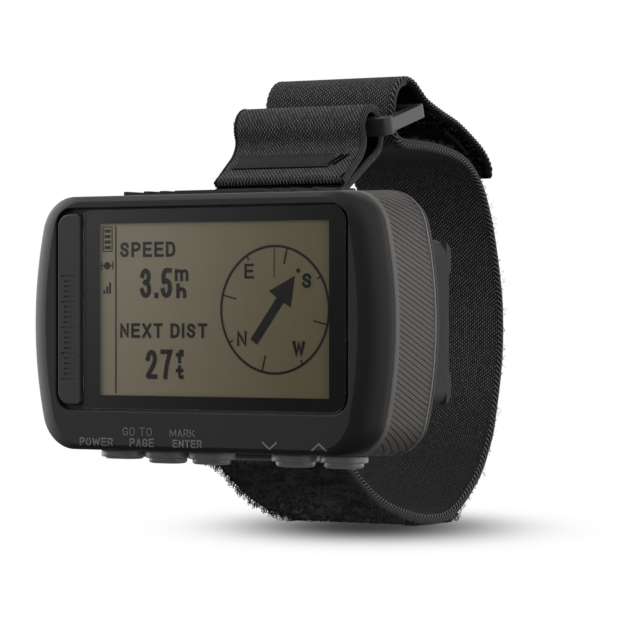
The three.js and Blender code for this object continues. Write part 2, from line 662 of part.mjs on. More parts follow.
function batteryContacts() {
  const group = new THREE.Group();
  for (const [name, left] of [['right', PLATE_X], ['left', -PLATE_X - PLATE_THICK]]) {
    const plate = block(left, left + PLATE_THICK, ...PLATE_DEPTHS, -CONTACT_HALF_H, CONTACT_HALF_H);
    group.add(piece(`battery_plate_${name}`, plate, steel));
  }
  for (const number of [1, 2]) {
    const side = number === 1 ? 1 : -1;
    const spring = piece(`battery_spring_${number}`, coil(), steel);
    spring.position.set(-side * SPRING_X, CELL_Y, side * CELL_Z);
    spring.rotation.z = side === 1 ? 0 : Math.PI;
    group.add(spring);
  }
  return group;
}

// A short cone spring that grows along +x.
function coil() {
  const perTurn = 12;
  const points = [];
  for (let i = 0; i <= SPRING_TURNS * perTurn; i += 1) {
    const turn = i / perTurn;
    const angle = turn * 2 * Math.PI;
    const radius = SPRING_R - SPRING_TAPER * turn;
    points.push(new THREE.Vector3(SPRING_PITCH * turn, radius * Math.cos(angle), radius * Math.sin(angle)));
  }
  const wire = new THREE.Shape();
  wire.absarc(0, 0, WIRE_R, 0, 2 * Math.PI);
  const extrudePath = new THREE.CatmullRomCurve3(points);
  const options = { steps: SPRING_TURNS * 10, curveSegments: 2, bevelEnabled: false, extrudePath };
  return new THREE.ExtrudeGeometry(wire, options);
}

const SEAL_OUTER = [26.2, 11.75, 2];     // half length, half height and corner radius
const SEAL_INNER = [24.9, 11.35, 1.2];
const SEAL_FRONT = 18.95;
const SEAL_BACK = 19.35;

function sealOutline([halfL, halfH, radius]) {
  return roundedRect(-halfL, halfL, -halfH, halfH, radius);
}

function batterySeal() {
  const ring = slab(sealOutline(SEAL_OUTER), SEAL_FRONT, SEAL_BACK);
  const hole = slab(sealOutline(SEAL_INNER), SEAL_FRONT - OVER, SEAL_BACK + OVER);
  return piece('battery_seal', combine(ring, [], [hole]), rubber);
}

const LATCH_DISC_R = 2.3;
const LATCH_DISC_THICK = 0.6;
const LATCH_SHAFT_R = 1.2;
const LATCH_GRIP = [2.0, 0.5];     // half length and half width of the finger grip
const LATCH_GRIP_RISE = 0.6;
const TONGUE_THICK = 0.8;
const TONGUE_HALF_W = 0.9;
const TONGUE_TIP = 2.9;
const COVER_GROOVES = 4;           // to each side of the middle groove
const COVER_GROOVE_PITCH = 5;
const COVER_GROOVE_HALF = [0.4, 8.5];
const COVER_GROOVE_DEPTH = 0.35;

function batteryCover() {
  const wellFloor = COVER_BACK - LATCH_DISC_THICK - GAP;
  const well = cylinderY(LATCH_X, 0, LATCH_DISC_R + GAP, wellFloor, COVER_BACK + OVER, 20);
  const bore = cylinderY(LATCH_X, 0, LATCH_SHAFT_R + GAP, COVER_FRONT - OVER, COVER_BACK + OVER, 20);
  const cuts = [well, bore];
  const [halfW, halfH] = COVER_GROOVE_HALF;
  for (let i = -COVER_GROOVES; i <= COVER_GROOVES; i += 1) {
    const x = i * COVER_GROOVE_PITCH;
    cuts.push(block(x - halfW, x + halfW, COVER_BACK - COVER_GROOVE_DEPTH, COVER_BACK + OVER, -halfH, halfH));
  }
  return piece('battery_cover', combine(slab(coverOutline(0), COVER_FRONT, COVER_BACK), [], cuts), housing);
}

function coverLatch() {
  const discFront = COVER_BACK - LATCH_DISC_THICK;
  const [gripX, gripZ] = LATCH_GRIP;
  const disc = cylinderY(LATCH_X, 0, LATCH_DISC_R, discFront, COVER_BACK, 20);
  const grip = block(LATCH_X - gripX, LATCH_X + gripX, COVER_BACK - WELD, COVER_BACK + LATCH_GRIP_RISE,
    -gripZ, gripZ);
  const shaft = cylinderY(LATCH_X, 0, LATCH_SHAFT_R, TONGUE_FRONT + WELD, discFront + WELD, 16);
  const tongue = block(LATCH_X - TONGUE_HALF_W, LATCH_X + TONGUE_TIP,
    TONGUE_FRONT, TONGUE_FRONT + TONGUE_THICK, -TONGUE_HALF_W, TONGUE_HALF_W);
  return piece('cover_latch', combine(disc, [grip, shaft, tongue]), satinPlastic);
}

function strapBar(name, z) {
  return piece(name, cylinderX(BAR_Y, z, BAR_R, -LUG_OUTER, LUG_OUTER), steel);
}

const SCREW_TIP = 2.4;
const HEAD_THICK = 0.7;
const HEAD_PROUD = 0.3;            // of the rim's rear face
const SLOT_HALF_W = 0.25;
const SLOT_DEPTH = 0.4;

function caseScrew(index) {
  const [x, z] = SCREW_PLACES[index];
  const headBack = RIM_BACK + HEAD_PROUD;
  const headFront = headBack - HEAD_THICK;
  const head = cylinderY(x, z, SCREW_HEAD_R, headFront, headBack);
  const shank = cylinderY(x, z, SCREW_SHANK_R, SCREW_TIP, headFront + WELD, 8);
  const slot = block(x - SCREW_HEAD_R - OVER, x + SCREW_HEAD_R + OVER, headBack - SLOT_DEPTH, headBack + OVER,
    z - SLOT_HALF_W, z + SLOT_HALF_W);
  return piece(`case_screw_${index + 1}`, combine(head, [shank], [slot]), steel);
}

// ---- Strap: webbing loop, ring, wrist strap and its tail ----------------------------------------
const TOP_BAR = [FRONT_Y + BAR_Y, MID_Z + BAR_Z];
const LOW_BAR = [FRONT_Y + BAR_Y, MID_Z - BAR_Z];

// Points round a bar, from one angle to another in degrees.
function roundBar([y, z], radius, from, to, count) {
  const points = [];
  for (let i = 0; i <= count; i += 1) {
    const angle = THREE.MathUtils.degToRad(from + ((to - from) * i) / count);
    points.push([y + radius * Math.cos(angle), z + radius * Math.sin(angle)]);
  }
  return points;
}

function frontLoop() {
  const route = [
    ...roundBar(TOP_BAR, 1.9, 100, 330, 6),
    [-15.2, 55.5], [-11.2, 58.0], [-7.2, 60.5], [-4.0, 62.7], [-3.3, 64.6],
    [-3.9, 67.2], [-5.0, 69.0], [-6.8, 69.3], [-8.5, 68.2], [-9.1, 66.3],
    [-8.6, 63.9], [-9.5, 61.8], [-12.0, 59.5], [-15.6, 57.3],
  ];
  return piece('front_loop', acrossX(closedStrip(route, WEBBING_THICK, 52), STRAP_WIDTH), webbing);
}

const PATCH_ENDS = [-10.5, 8.0];
const PATCH_HALF_THICK = 0.2;
const PATCH_HALF_H = 1.9;
const PATCH_PLACE = [-11.8, 61.3];       // Y and Z of its middle
const PATCH_TILT = -47;                  // degrees

// The sewn patch lies on the front face of the webbing, a little above the top bar.
function stitchPatch() {
  const patch = block(...PATCH_ENDS, -PATCH_HALF_THICK, PATCH_HALF_THICK, -PATCH_HALF_H, PATCH_HALF_H);
  const mesh = piece('stitch_patch', patch, webbing);
  mesh.position.set(0, ...PATCH_PLACE);
  mesh.rotation.x = THREE.MathUtils.degToRad(PATCH_TILT);
  return mesh;
}

// The ring seen from above, from its front bar to `far`.
function ringOutline(far, rearR) {
  const near = -RING_BAR / 2;
  const shape = new THREE.Shape();
  shape.moveTo(-RING_HALF_W + RING_FRONT_R, near);
  shape.lineTo(RING_HALF_W - RING_FRONT_R, near);
  shape.absarc(RING_HALF_W - RING_FRONT_R, near + RING_FRONT_R, RING_FRONT_R, -Math.PI / 2, 0);
  shape.absarc(RING_HALF_W - rearR, far - rearR, rearR, 0, Math.PI / 2);
  shape.absarc(-RING_HALF_W + rearR, far - rearR, rearR, Math.PI / 2, Math.PI);
  shape.absarc(-RING_HALF_W + RING_FRONT_R, near + RING_FRONT_R, RING_FRONT_R, Math.PI, 1.5 * Math.PI);
  return shape;
}

// A flat shape given thickness to both sides.
function plate(shape, thickness) {
  const options = { depth: thickness, curveSegments: 5, bevelEnabled: false };
  return new THREE.ExtrudeGeometry(shape, options).translate(0, 0, -thickness / 2);
}

function buckleRing() {
  const long = Math.hypot(RING_REAR[0] - RING_FRONT[0], RING_REAR[1] - RING_FRONT[1]);
  const outer = ringOutline(long + RING_BAR / 2, RING_REAR_R);
  const side = RING_HALF_W - RING_ARM;
  const hole = new THREE.Path();
  hole.moveTo(-side, RING_BAR / 2);
  hole.lineTo(-side, long - RING_BAR / 2);
  hole.lineTo(side, long - RING_BAR / 2);
  hole.lineTo(side, RING_BAR / 2);
  outer.holes.push(hole);
  const bar = plate(ringOutline(RING_BAR / 2, GAP), RING_LIP);
  const mesh = piece('buckle_ring', combine(plate(outer, RING_THICK), [bar]), satinPlastic);
  mesh.position.set(RING_SHIFT, RING_FRONT[0], RING_FRONT[1]);
  mesh.rotation.x = Math.atan2(RING_REAR[1] - RING_FRONT[1], RING_REAR[0] - RING_FRONT[0]);
  return mesh;
}

const GROUND = [-20, 20, -30, 50, -5, 0];

// The strap's lowest curve is pressed flat on the ground.
function wristStrap() {
  const route = [
    [-12.2, 12.3], [-15.3, 14.7],
    ...roundBar(LOW_BAR, BAR_WRAP_R, 60, 235, 5),
    [-18.9, 12.55], [-15.7, 11.7], [-12.4, 9.9], [-9.3, 7.8], [-5.6, 5.6], [-2.2, 4.1], [1.4, 2.9],
    [5.2, 1.95], [8.9, 1.2], [12.2, 0.78], [15.2, 0.68], [18.3, 0.85], [21.9, 1.85], [25.5, 3.85],
    [28.5, 6.1], [31.2, 8.6], [33.3, 11.7],
    [34.9, 14.6], [36.4, 19.4], [37.6, 24.2], [38.35, 28.5], [38.55, 32.7], [38.3, 38.0], [37.6, 41.6],
    [36.8, 44.8], [35.8, 48.2], [34.6, 51.6], [33.1, 54.8], [31.2, 57.7], [28.8, 60.0], [25.4, 61.9],
    [21.3, 63.0], [15.7, 63.7], [9.5, 64.0], [4.6, 64.1], [2.0, 65.0], [1.0, 67.0], [1.0, 69.6],
    [1.5, 71.9], [2.9, 73.7], [5.0, 74.5], [7.3, 74.1], HINGE_END,
  ];
  const strap = combine(acrossX(strip(route, STRAP_THICK, 104), STRAP_WIDTH), [], [block(...GROUND)]);
  return piece('wrist_strap', strap, knit);
}

function strapTail() {
  const route = [
    [9.72, 72.6], [11.6, 71.4], [16.4, 69.7], [22.7, 67.85], [28.4, 65.3], [31.3, 63.7], [33.3, 62.0],
    [34.1, 60.5], [33.7, 59.3],
  ];
  return piece('strap_tail', acrossX(strip(route, STRAP_THICK, 14), STRAP_WIDTH), knit);
}

function hookTab() {
  const route = [[20.8, 66.95], [24.0, 65.8], [26.9, 64.45], [28.9, 63.35]];
  return piece('hook_tab', acrossX(strip(route, HOOK_THICK, 8), HOOK_WIDTH), rubber);
}

// ---- Assembly -----------------------------------------------------------------------------------
const device = new THREE.Group();
device.position.set(0, FRONT_Y, MID_Z);
device.add(frontBezel(), nameplate(), displayLens(), lcdPanel(), backlightGuide(), lcdTray());
device.add(caseGasket(), mainBoard(), boardParts(), keyBoard(), gripBand(), topGripPad(), usbCap());
BUTTON_NAMES.forEach((name, index) => device.add(button(name, BUTTON_X[index]), keySwitch(index)));
device.add(rearHousing(), battery(1), battery(2), batteryContacts(), batterySeal());
device.add(batteryCover(), coverLatch());
device.add(strapBar('strap_bar_top', BAR_Z), strapBar('strap_bar_bottom', -BAR_Z));
SCREW_PLACES.forEach((_, index) => device.add(caseScrew(index)));

const group = new THREE.Group();
group.add(device, frontLoop(), stitchPatch(), buckleRing(), wristStrap(), strapTail(), hookTab());

export default group;
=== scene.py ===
"""Looks of a wrist-worn GPS unit on its hook-and-loop strap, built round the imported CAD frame.

Device pieces are drawn in millimetres in the device's own frame, as in the CAD source: x runs
along the screen, y is the depth behind the front face, z is the height above the middle of the
case. Straps are drawn in millimetres in Y and Z of the whole object. Meshes are then in metres.
"""

import json
import math

import bmesh
import bpy
import numpy as np
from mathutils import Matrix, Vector

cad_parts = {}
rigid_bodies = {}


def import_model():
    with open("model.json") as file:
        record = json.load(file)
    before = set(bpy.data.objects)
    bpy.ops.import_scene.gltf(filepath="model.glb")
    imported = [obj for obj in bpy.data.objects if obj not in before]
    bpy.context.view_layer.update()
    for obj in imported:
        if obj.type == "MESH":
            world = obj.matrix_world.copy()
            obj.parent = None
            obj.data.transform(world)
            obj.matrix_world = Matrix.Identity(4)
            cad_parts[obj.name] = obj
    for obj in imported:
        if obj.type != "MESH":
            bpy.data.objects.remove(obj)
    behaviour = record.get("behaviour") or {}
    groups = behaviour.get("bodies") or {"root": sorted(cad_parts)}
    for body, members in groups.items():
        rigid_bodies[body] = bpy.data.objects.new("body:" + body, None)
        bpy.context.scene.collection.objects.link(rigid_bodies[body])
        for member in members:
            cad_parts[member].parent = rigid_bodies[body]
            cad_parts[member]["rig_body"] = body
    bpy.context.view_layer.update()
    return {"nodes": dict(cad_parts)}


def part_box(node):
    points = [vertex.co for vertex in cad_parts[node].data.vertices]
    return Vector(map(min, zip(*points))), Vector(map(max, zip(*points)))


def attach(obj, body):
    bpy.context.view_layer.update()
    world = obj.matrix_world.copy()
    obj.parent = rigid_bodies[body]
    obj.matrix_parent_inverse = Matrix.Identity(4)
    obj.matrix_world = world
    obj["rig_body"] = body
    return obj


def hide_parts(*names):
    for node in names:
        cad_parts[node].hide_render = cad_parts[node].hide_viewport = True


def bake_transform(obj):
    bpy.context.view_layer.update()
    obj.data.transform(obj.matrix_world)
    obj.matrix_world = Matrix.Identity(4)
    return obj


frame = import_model()

MM = 0.001
bezel_low, bezel_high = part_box("front_bezel")
FRONT_Y = bezel_low.y
MID_Z = (bezel_low.z + bezel_high.z) / 2
NODES = frame["nodes"]
BODY_OF = {name: node["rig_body"] for name, node in NODES.items()}


# ---- Nodes: a small helper that adds them -------------------------------------------------------
class Nodes:
    """Adds nodes to a tree. Each method but `put` and `add` gives the new node's output."""

    def __init__(self, tree):
        self.tree = tree

    def add(self, kind, **settings):
        node = self.tree.nodes.new("ShaderNode" + kind)
        for name, value in settings.items():
            setattr(node, name, value)
        return node

    def put(self, socket, value):
        if isinstance(value, bpy.types.NodeSocket):
            self.tree.links.new(value, socket)
        else:
            socket.default_value = value

    def math(self, operation, *values, clamp=False):
        node = self.add("Math", operation=operation, use_clamp=clamp)
        for socket, value in zip(node.inputs, values):
            self.put(socket, value)
        return node.outputs[0]

    def times(self, first, second):
        return self.math("MULTIPLY", first, second)

    def plus(self, first, second):
        return self.math("ADD", first, second)

    def less(self, first, second):
        return self.math("SUBTRACT", first, second)

    def over(self, first, second):
        return self.math("DIVIDE", first, second)

    def power(self, base, exponent):
        return self.math("POWER", base, exponent)

    def dot(self, vector, axis):
        node = self.add("VectorMath", operation="DOT_PRODUCT")
        node.inputs[1].default_value = axis
        self.put(node.inputs[0], vector)
        return node.outputs["Value"]

    def ramp(self, value, low, high, to_low=0.0, to_high=1.0):
        """Eases from `to_low` to `to_high` as the value goes from low to high."""
        node = self.add("MapRange", interpolation_type="SMOOTHSTEP")
        for name, number in zip(("Value", "From Min", "From Max", "To Min", "To Max"),
                                (value, low, high, to_low, to_high)):
            self.put(node.inputs[name], number)
        return node.outputs[0]


# ---- Camera and light ---------------------------------------------------------------------------
CAMERA_PLACE = (0.2807, -0.4575, 0.0358)
CAMERA_AIM = (-0.527, 0.850, 0)
CAMERA_RIGHT = (0.850, 0.527, 0)
FOCAL_LENGTH = 184.3
SENSOR_WIDTH = 36


def add_camera():
    """A long lens that looks level past the right end of the case, as in the photo."""
    data = bpy.data.cameras.new("view")
    data.lens = FOCAL_LENGTH
    data.sensor_width = SENSOR_WIDTH
    camera = bpy.data.objects.new("view", data)
    camera.location = CAMERA_PLACE
    camera.rotation_euler = Vector(CAMERA_AIM).to_track_quat("-Z", "Y").to_euler()
    bpy.context.scene.collection.objects.link(camera)
    bpy.context.scene.camera = camera


# Soft boxes in the sky: direction, cosine where each begins and where it is full, brightness.
SOFT_BOXES = [
    ((-0.85, -0.30, 0.43), 0.685, 0.92, 1.9),
    ((0.95, -0.20, 0.14), 0.70, 0.90, 0.85),
    ((-0.97, 0.10, 0.20), 0.76, 0.96, 1.8),
    ((0.62, 0.78, 0.10), 0.80, 0.95, 1.3),
    ((0.40, -0.25, 0.87), 0.58, 0.90, 0.65),
    ((-0.35, 0.88, 0.32), 0.60, 0.90, 0.80),
]
AMBIENT = 0.085
WHITE = (1, 1, 1, 1)


def add_sky():
    """A studio of soft boxes for the light, and plain white behind the object."""
    world = bpy.data.worlds.new("studio")
    world.use_nodes = True
    bpy.context.scene.world = world
    nodes = Nodes(world.node_tree)
    direction = nodes.add("TexCoord").outputs["Generated"]
    strength = AMBIENT
    for axis, begin, full, brightness in SOFT_BOXES:
        towards = nodes.dot(direction, Vector(axis).normalized())
        strength = nodes.plus(nodes.ramp(towards, begin, full, 0, brightness), strength)
    light = world.node_tree.nodes["Background"]
    white = nodes.add("Background")
    light.inputs["Color"].default_value = WHITE
    white.inputs["Color"].default_value = WHITE
    nodes.put(light.inputs["Strength"], strength)
    either = nodes.add("MixShader")
    nodes.put(either.inputs[0], nodes.add("LightPath").outputs["Is Camera Ray"])
    nodes.put(either.inputs[1], light.outputs[0])
    nodes.put(either.inputs[2], white.outputs[0])
    nodes.put(world.node_tree.nodes["World Output"].inputs["Surface"], either.outputs[0])
    bpy.context.scene.view_settings.view_transform = "Standard"


# ---- Materials ----------------------------------------------------------------------------------
class Surface(Nodes):
    """A node material round one Principled shader."""

    def __init__(self, name):
        self.material = bpy.data.materials.new(name)
        self.material.use_nodes = True
        super().__init__(self.material.node_tree)
        self.shader = self.tree.nodes["Principled BSDF"]

    def set(self, **inputs):
        for name, value in inputs.items():
            self.put(self.shader.inputs[name.replace("_", " ")], value)

    def place(self):
        return self.add("TexCoord").outputs["Object"]

    def split(self, vector):
        node = self.add("SeparateXYZ")
        self.put(node.inputs[0], vector)
        return node.outputs

    def attribute(self, name):
        return self.add("Attribute", attribute_name=name).outputs["Vector"]

    def noise(self, vector, scale, detail=2.0):
        node = self.add("TexNoise")
        self.put(node.inputs["Vector"], vector)
        node.inputs["Scale"].default_value = scale
        node.inputs["Detail"].default_value = detail
        return node.outputs[0]

    def mix(self, factor, first, second):
        node = self.add("Mix", data_type="RGBA")
        self.put(node.inputs[0], factor)
        for socket, colour in ((node.inputs[6], first), (node.inputs[7], second)):
            self.put(socket, colour if isinstance(colour, bpy.types.NodeSocket) else (*colour, 1))
        return node.outputs[2]

    def bump(self, height, depth):
        """A raised normal; `depth` is in millimetres."""
        node = self.add("Bump")
        node.inputs["Strength"].default_value = 1.0
        node.inputs["Distance"].default_value = depth * MM
        self.put(node.inputs["Height"], height)
        return node.outputs[0]


def shade_of(colour, share):
    return tuple(channel * share for channel in colour)


def moulded(name, colour, roughness, grain=0.22, relief=0.012, mottle=0.10, worn=0.0, shine=0.5):
    """Moulded plastic or rubber: fine spark grain, faint mottling and lighter worn edges."""
    s = Surface(name)
    point = s.place()
    fine = s.noise(point, 1 / (grain * MM))
    broad = s.noise(point, 90, 4)
    base = s.mix(broad, shade_of(colour, 1 - mottle), shade_of(colour, 1 + mottle))
    if worn:
        edge = s.add("NewGeometry").outputs["Pointiness"]
        rubbed = s.times(s.ramp(edge, 0.52, 0.62), worn)
        base = s.mix(rubbed, base, shade_of(colour, 2.2))
    s.set(Base_Color=base, Roughness=s.ramp(fine, 0.2, 0.8, roughness - 0.07, roughness + 0.07))
    s.set(Normal=s.bump(fine, relief), Specular_IOR_Level=shine)
    return s.material


def grip_texture(name, colour):
    """Grip plastic with a fine diamond texture and painted shade where it turns under at top and bottom."""
    s = Surface(name)
    x, y, z = s.split(s.place())
    turns = 2 * math.pi / (0.28 * MM)
    along = s.plus(z, s.times(x, 0.6))
    rising = s.math("SINE", s.times(s.plus(along, y), turns))
    falling = s.math("SINE", s.times(s.less(along, y), turns))
    diamonds = s.ramp(s.times(rising, falling), -0.6, 0.6)
    speck = s.noise(s.place(), 4200)
    height = s.math("MULTIPLY_ADD", speck, 0.6, diamonds)
    tint = s.times(s.plus(speck, diamonds), 0.5)
    base = s.mix(tint, shade_of(colour, 0.62), shade_of(colour, 1.32))
    base = s.mix(s.noise(s.place(), 70, 3), base, shade_of(colour, 0.92))
    low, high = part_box("grip_band")
    # Painted shade: darker over the lowest 10 mm and the highest 12 mm of the band.
    foot = s.ramp(z, low.z, low.z + 10 * MM, 0.78, 1.0)
    head = s.ramp(z, high.z - 12 * MM, high.z, 1.0, 0.6)
    base = s.mix(s.times(foot, head), (0, 0, 0), base)
    s.set(Base_Color=base, Roughness=0.48, Normal=s.bump(height, 0.02))
    return s.material


def brushed(name, colour, roughness=0.32):
    """Drawn or stamped metal with fine lines along X."""
    s = Surface(name)
    stretch = s.add("Mapping")
    stretch.inputs["Scale"].default_value = (300, 9000, 9000)
    s.put(stretch.inputs["Vector"], s.place())
    lines = s.noise(stretch.outputs[0], 1.0, 3)
    s.set(Base_Color=s.mix(lines, shade_of(colour, 0.8), shade_of(colour, 1.1)), Metallic=1.0)
    s.set(Roughness=s.ramp(lines, 0.3, 0.7, roughness - 0.08, roughness + 0.1))
    s.set(Normal=s.bump(lines, 0.004))
    return s.material


def knitted(name, across, along, slant, yarn, gap, ground_shade=1.0):
    """Rows of staggered yarn stitches, with painted shade near the ground set by `ground_shade`.

    The weave attribute holds millimetres across and along the strap.
    """
    s = Surface(name)
    weave = s.attribute("weave")
    x, y, _ = s.split(weave)
    column = s.plus(s.over(x, across), s.times(s.noise(weave, 0.55), 0.35))
    stagger = s.times(s.math("FLOORED_MODULO", s.math("FLOOR", column), 2.0), 0.5)
    row = s.plus(s.over(y, along), stagger)
    u = s.less(s.math("FRACT", column), 0.5)
    v = s.less(s.math("FRACT", row), 0.5)
    leaned = s.math("MULTIPLY_ADD", v, slant, u)
    far = s.math("SQRT", s.plus(s.power(s.over(leaned, 0.44), 2.0), s.power(s.over(v, 0.52), 2.0)))
    stitch = s.ramp(far, 1.0, 0.25)
    cell = s.add("TexWhiteNoise", noise_dimensions="2D")
    corner = s.add("CombineXYZ")
    s.put(corner.inputs[0], s.math("FLOOR", column))
    s.put(corner.inputs[1], s.math("FLOOR", row))
    s.put(cell.inputs["Vector"], corner.outputs[0])
    fibre = s.noise(s.place(), 9000)
    uneven = s.math("MULTIPLY_ADD", cell.outputs["Value"], 0.8, 0.6)
    lit = s.times(uneven, s.math("MULTIPLY_ADD", fibre, 0.5, 0.75))
    # Painted shade: the cloth darkens towards the ground, down to the given share at its lowest.
    lit = s.times(lit, s.ramp(s.split(s.place())[2], 2 * MM, 36 * MM, ground_shade, 1.0))
    base = s.mix(s.math("MULTIPLY", stitch, lit, clamp=True), gap, yarn)
    height = s.math("MULTIPLY_ADD", fibre, 0.2, stitch)
    s.set(Base_Color=base, Roughness=0.88, Normal=s.bump(height, 0.16), Specular_IOR_Level=0.2)
    return s.material


def fuzzy(name, colour):
    """Loop pile: clumps of black fibre."""
    s = Surface(name)
    point = s.place()
    clump = s.noise(point, 1300, 4)
    height = s.plus(clump, s.times(s.noise(point, 6000, 3), 0.5))
    s.set(Base_Color=s.mix(s.ramp(clump, 0.3, 0.7), shade_of(colour, 0.3), shade_of(colour, 1.6)))
    s.set(Roughness=0.95, Normal=s.bump(height, 0.35), Sheen_Weight=0.2, Specular_IOR_Level=0.15)
    return s.material


def spun(name, colour, sheen):
    """Thread, streaked by its filaments."""
    s = Surface(name)
    streak = s.noise(s.place(), 5200, 3)
    s.set(Base_Color=s.mix(s.ramp(streak, 0.25, 0.75), shade_of(colour, 0.35), shade_of(colour, 1.5)))
    s.set(Roughness=0.8, Normal=s.bump(streak, 0.05), Sheen_Weight=sheen, Specular_IOR_Level=sheen)
    return s.material


def bound(name, yarn, gap):
    """Overlocking yarn, shade painted between its turns. The weave attribute holds the ridge it lies on."""
    s = Surface(name)
    ridge = s.split(s.attribute("weave"))[0]
    fibre = s.noise(s.place(), 7000)
    # Painted shade: the yarn darkens towards the grooves between its turns.
    light = s.times(s.ramp(ridge, -0.3, 0.9), s.ramp(fibre, 0.2, 0.8, 0.6, 1.2))
    s.set(Base_Color=s.mix(light, gap, yarn), Roughness=0.85, Normal=s.bump(fibre, 0.05))
    s.set(Specular_IOR_Level=0.2)
    return s.material


def display_glass():
    """Reflective olive-grey display glass with a faint dot grid; painted light, darker and warmer to the
    right.
    """
    s = Surface("display_glass")
    x, _, z = s.split(s.place())
    low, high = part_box("lcd_panel")
    # Painted light: lighter to the left, darker and warmer to the right.
    base = s.mix(s.ramp(x, low.x, high.x), (0.256, 0.226, 0.150), (0.142, 0.119, 0.064))
    # Painted light and shade: lighter towards the top, shaded along the left and right edges.
    painted_light_rise = s.ramp(z, low.z, high.z, 0.90, 1.04)
    painted_shade_left = s.ramp(x, low.x, low.x + 2.2 * MM, 0.86, 1.0)
    painted_shade_right = s.ramp(x, high.x - 3 * MM, high.x, 1.0, 0.82)
    lit_and_shaded_tone = s.add("VectorMath", operation="SCALE")
    s.put(lit_and_shaded_tone.inputs[0], base)
    s.put(lit_and_shaded_tone.inputs["Scale"], s.times(painted_light_rise, s.math("MINIMUM", painted_shade_left, painted_shade_right)))
    turns = 2 * math.pi / (0.17 * MM)
    grid = s.plus(s.math("SINE", s.times(x, turns)), s.math("SINE", s.times(z, turns)))
    dots = s.math("MULTIPLY_ADD", grid, 0.02, 0.04)
    s.set(Base_Color=s.mix(dots, lit_and_shaded_tone.outputs[0], (0.06, 0.055, 0.035)))
    s.set(Roughness=0.6, Specular_IOR_Level=0.05)
    return s.material


def clear_glass():
    """Polished glass with a barely uneven surface."""
    s = Surface("lens_glass")
    haze = s.noise(s.place(), 60, 1)
    s.set(Base_Color=WHITE, Transmission_Weight=1.0, IOR=1.5)
    s.set(Roughness=s.ramp(haze, 0.3, 0.8, 0.0, 0.012))
    return s.material


def circuit_board():
    """Solder mask with faint copper tracks under it."""
    s = Surface("solder_mask")
    x, _, z = s.split(s.place())
    mask, track = (0.008, 0.06, 0.025), (0.02, 0.13, 0.05)
    track_x = s.ramp(s.math("SINE", s.times(x, 5200)), 0.2, 0.5)
    track_z = s.ramp(s.math("SINE", s.times(z, 4100)), 0.4, 0.7)
    patch = s.ramp(s.noise(s.place(), 160, 1), 0.48, 0.52)
    tracks = s.mix(patch, s.mix(track_x, mask, track), s.mix(track_z, mask, track))
    s.set(Base_Color=tracks, Roughness=0.4, Normal=s.bump(s.plus(track_x, track_z), 0.02))
    return s.material


def cell_wrap():
    """A cell's printed film: blue with a silver band at one end."""
    s = Surface("cell_film")
    band = s.ramp(s.split(s.place())[0], 13.0 * MM, 13.4 * MM)
    film = s.mix(band, (0.03, 0.10, 0.30), (0.62, 0.63, 0.64))
    scuff = s.noise(s.place(), 900, 4)
    film = s.mix(s.ramp(scuff, 0.62, 0.8, 0, 0.4), film, (0.5, 0.5, 0.5))
    s.set(Base_Color=film, Metallic=0.3, Roughness=s.ramp(scuff, 0.2, 0.8, 0.22, 0.42))
    return s.material


MATERIALS = {
    "bezel": moulded("bezel_plastic", (0.0095, 0.0095, 0.0098), 0.52, worn=0.10, shine=0.36),
    "nameplate": moulded("nameplate_plastic", (0.014, 0.014, 0.0145), 0.42, grain=0.35, relief=0.004),
    "lens": clear_glass(),
    "lcd": display_glass(),
    "ink": moulded("segment_ink", (0.004, 0.0035, 0.0028), 0.7, relief=0.001, mottle=0.3, shine=0.05),
    "border": moulded("lens_border_print", (0.0025, 0.0025, 0.0028), 0.5, relief=0.001, mottle=0.3,
                      shine=0.0),
    "label": moulded("label_print", (0.19, 0.19, 0.19), 0.6, mottle=0.2),
    "light_guide": moulded("light_guide_plastic", (0.8, 0.84, 0.86), 0.25, mottle=0.03),
    "steel": brushed("sheet_steel", (0.55, 0.56, 0.57)),
    "dark_steel": brushed("dark_steel", (0.16, 0.16, 0.165), 0.4),
    "rubber": moulded("black_rubber", (0.018, 0.018, 0.019), 0.78, grain=0.4, relief=0.02),
    "circuit_board": circuit_board(),
    "ceramic": moulded("ceramic", (0.6, 0.55, 0.44), 0.7, mottle=0.06),
    "keys": moulded("key_metal", (0.260, 0.243, 0.232), 0.32, grain=0.3, relief=0.006, worn=0.5),
    "grip_band": grip_texture("grip_plastic", (0.114, 0.103, 0.094)),
    "grip_rim": moulded("grip_rim_plastic", (0.135, 0.125, 0.116), 0.45, worn=0.2),
    "housing": moulded("housing_plastic", (0.036, 0.036, 0.037), 0.75, worn=0.15, shine=0.3),
    "cell_wrap": cell_wrap(),
    "satin_plastic": moulded("satin_plastic", (0.018, 0.0185, 0.0192), 0.30, relief=0.005, worn=0.3),
    "webbing": knitted("webbing_twill", 0.32, 0.72, 0.10, (0.200, 0.200, 0.201), (0.008, 0.008, 0.008)),
    # The strap's knit has shade painted in near the ground.
    "strap_knit": knitted("strap_knit", 0.40, 0.62, -0.35, (0.165, 0.165, 0.166), (0.006, 0.006, 0.006),
                          ground_shade=0.15),
    "pile": fuzzy("strap_pile", (0.026, 0.026, 0.0265)),
    "binding": bound("binding_yarn", (0.150, 0.150, 0.152), (0.004, 0.004, 0.004)),
    "thread": spun("sewing_thread", (0.014, 0.014, 0.0145), 0.2),
    # Dark thread; also used as painted shade under the loop's lip and as a painted shadow line below the
    # stitch patch.
    "dark_thread_and_shade": spun("dark_thread_and_shade", (0.009, 0.009, 0.009), 0.0),
    "hook_tape": moulded("hook_plastic", (0.005, 0.005, 0.005), 0.8, shine=0.15),
}


# ---- Meshes -------------------------------------------------------------------------------------
def in_device(points):
    return np.asarray(points, float) * MM + np.array((0, FRONT_Y, MID_Z))


def add_object(name, mesh):
    piece = bpy.data.objects.new(name, mesh)
    bpy.context.scene.collection.objects.link(piece)
    return piece


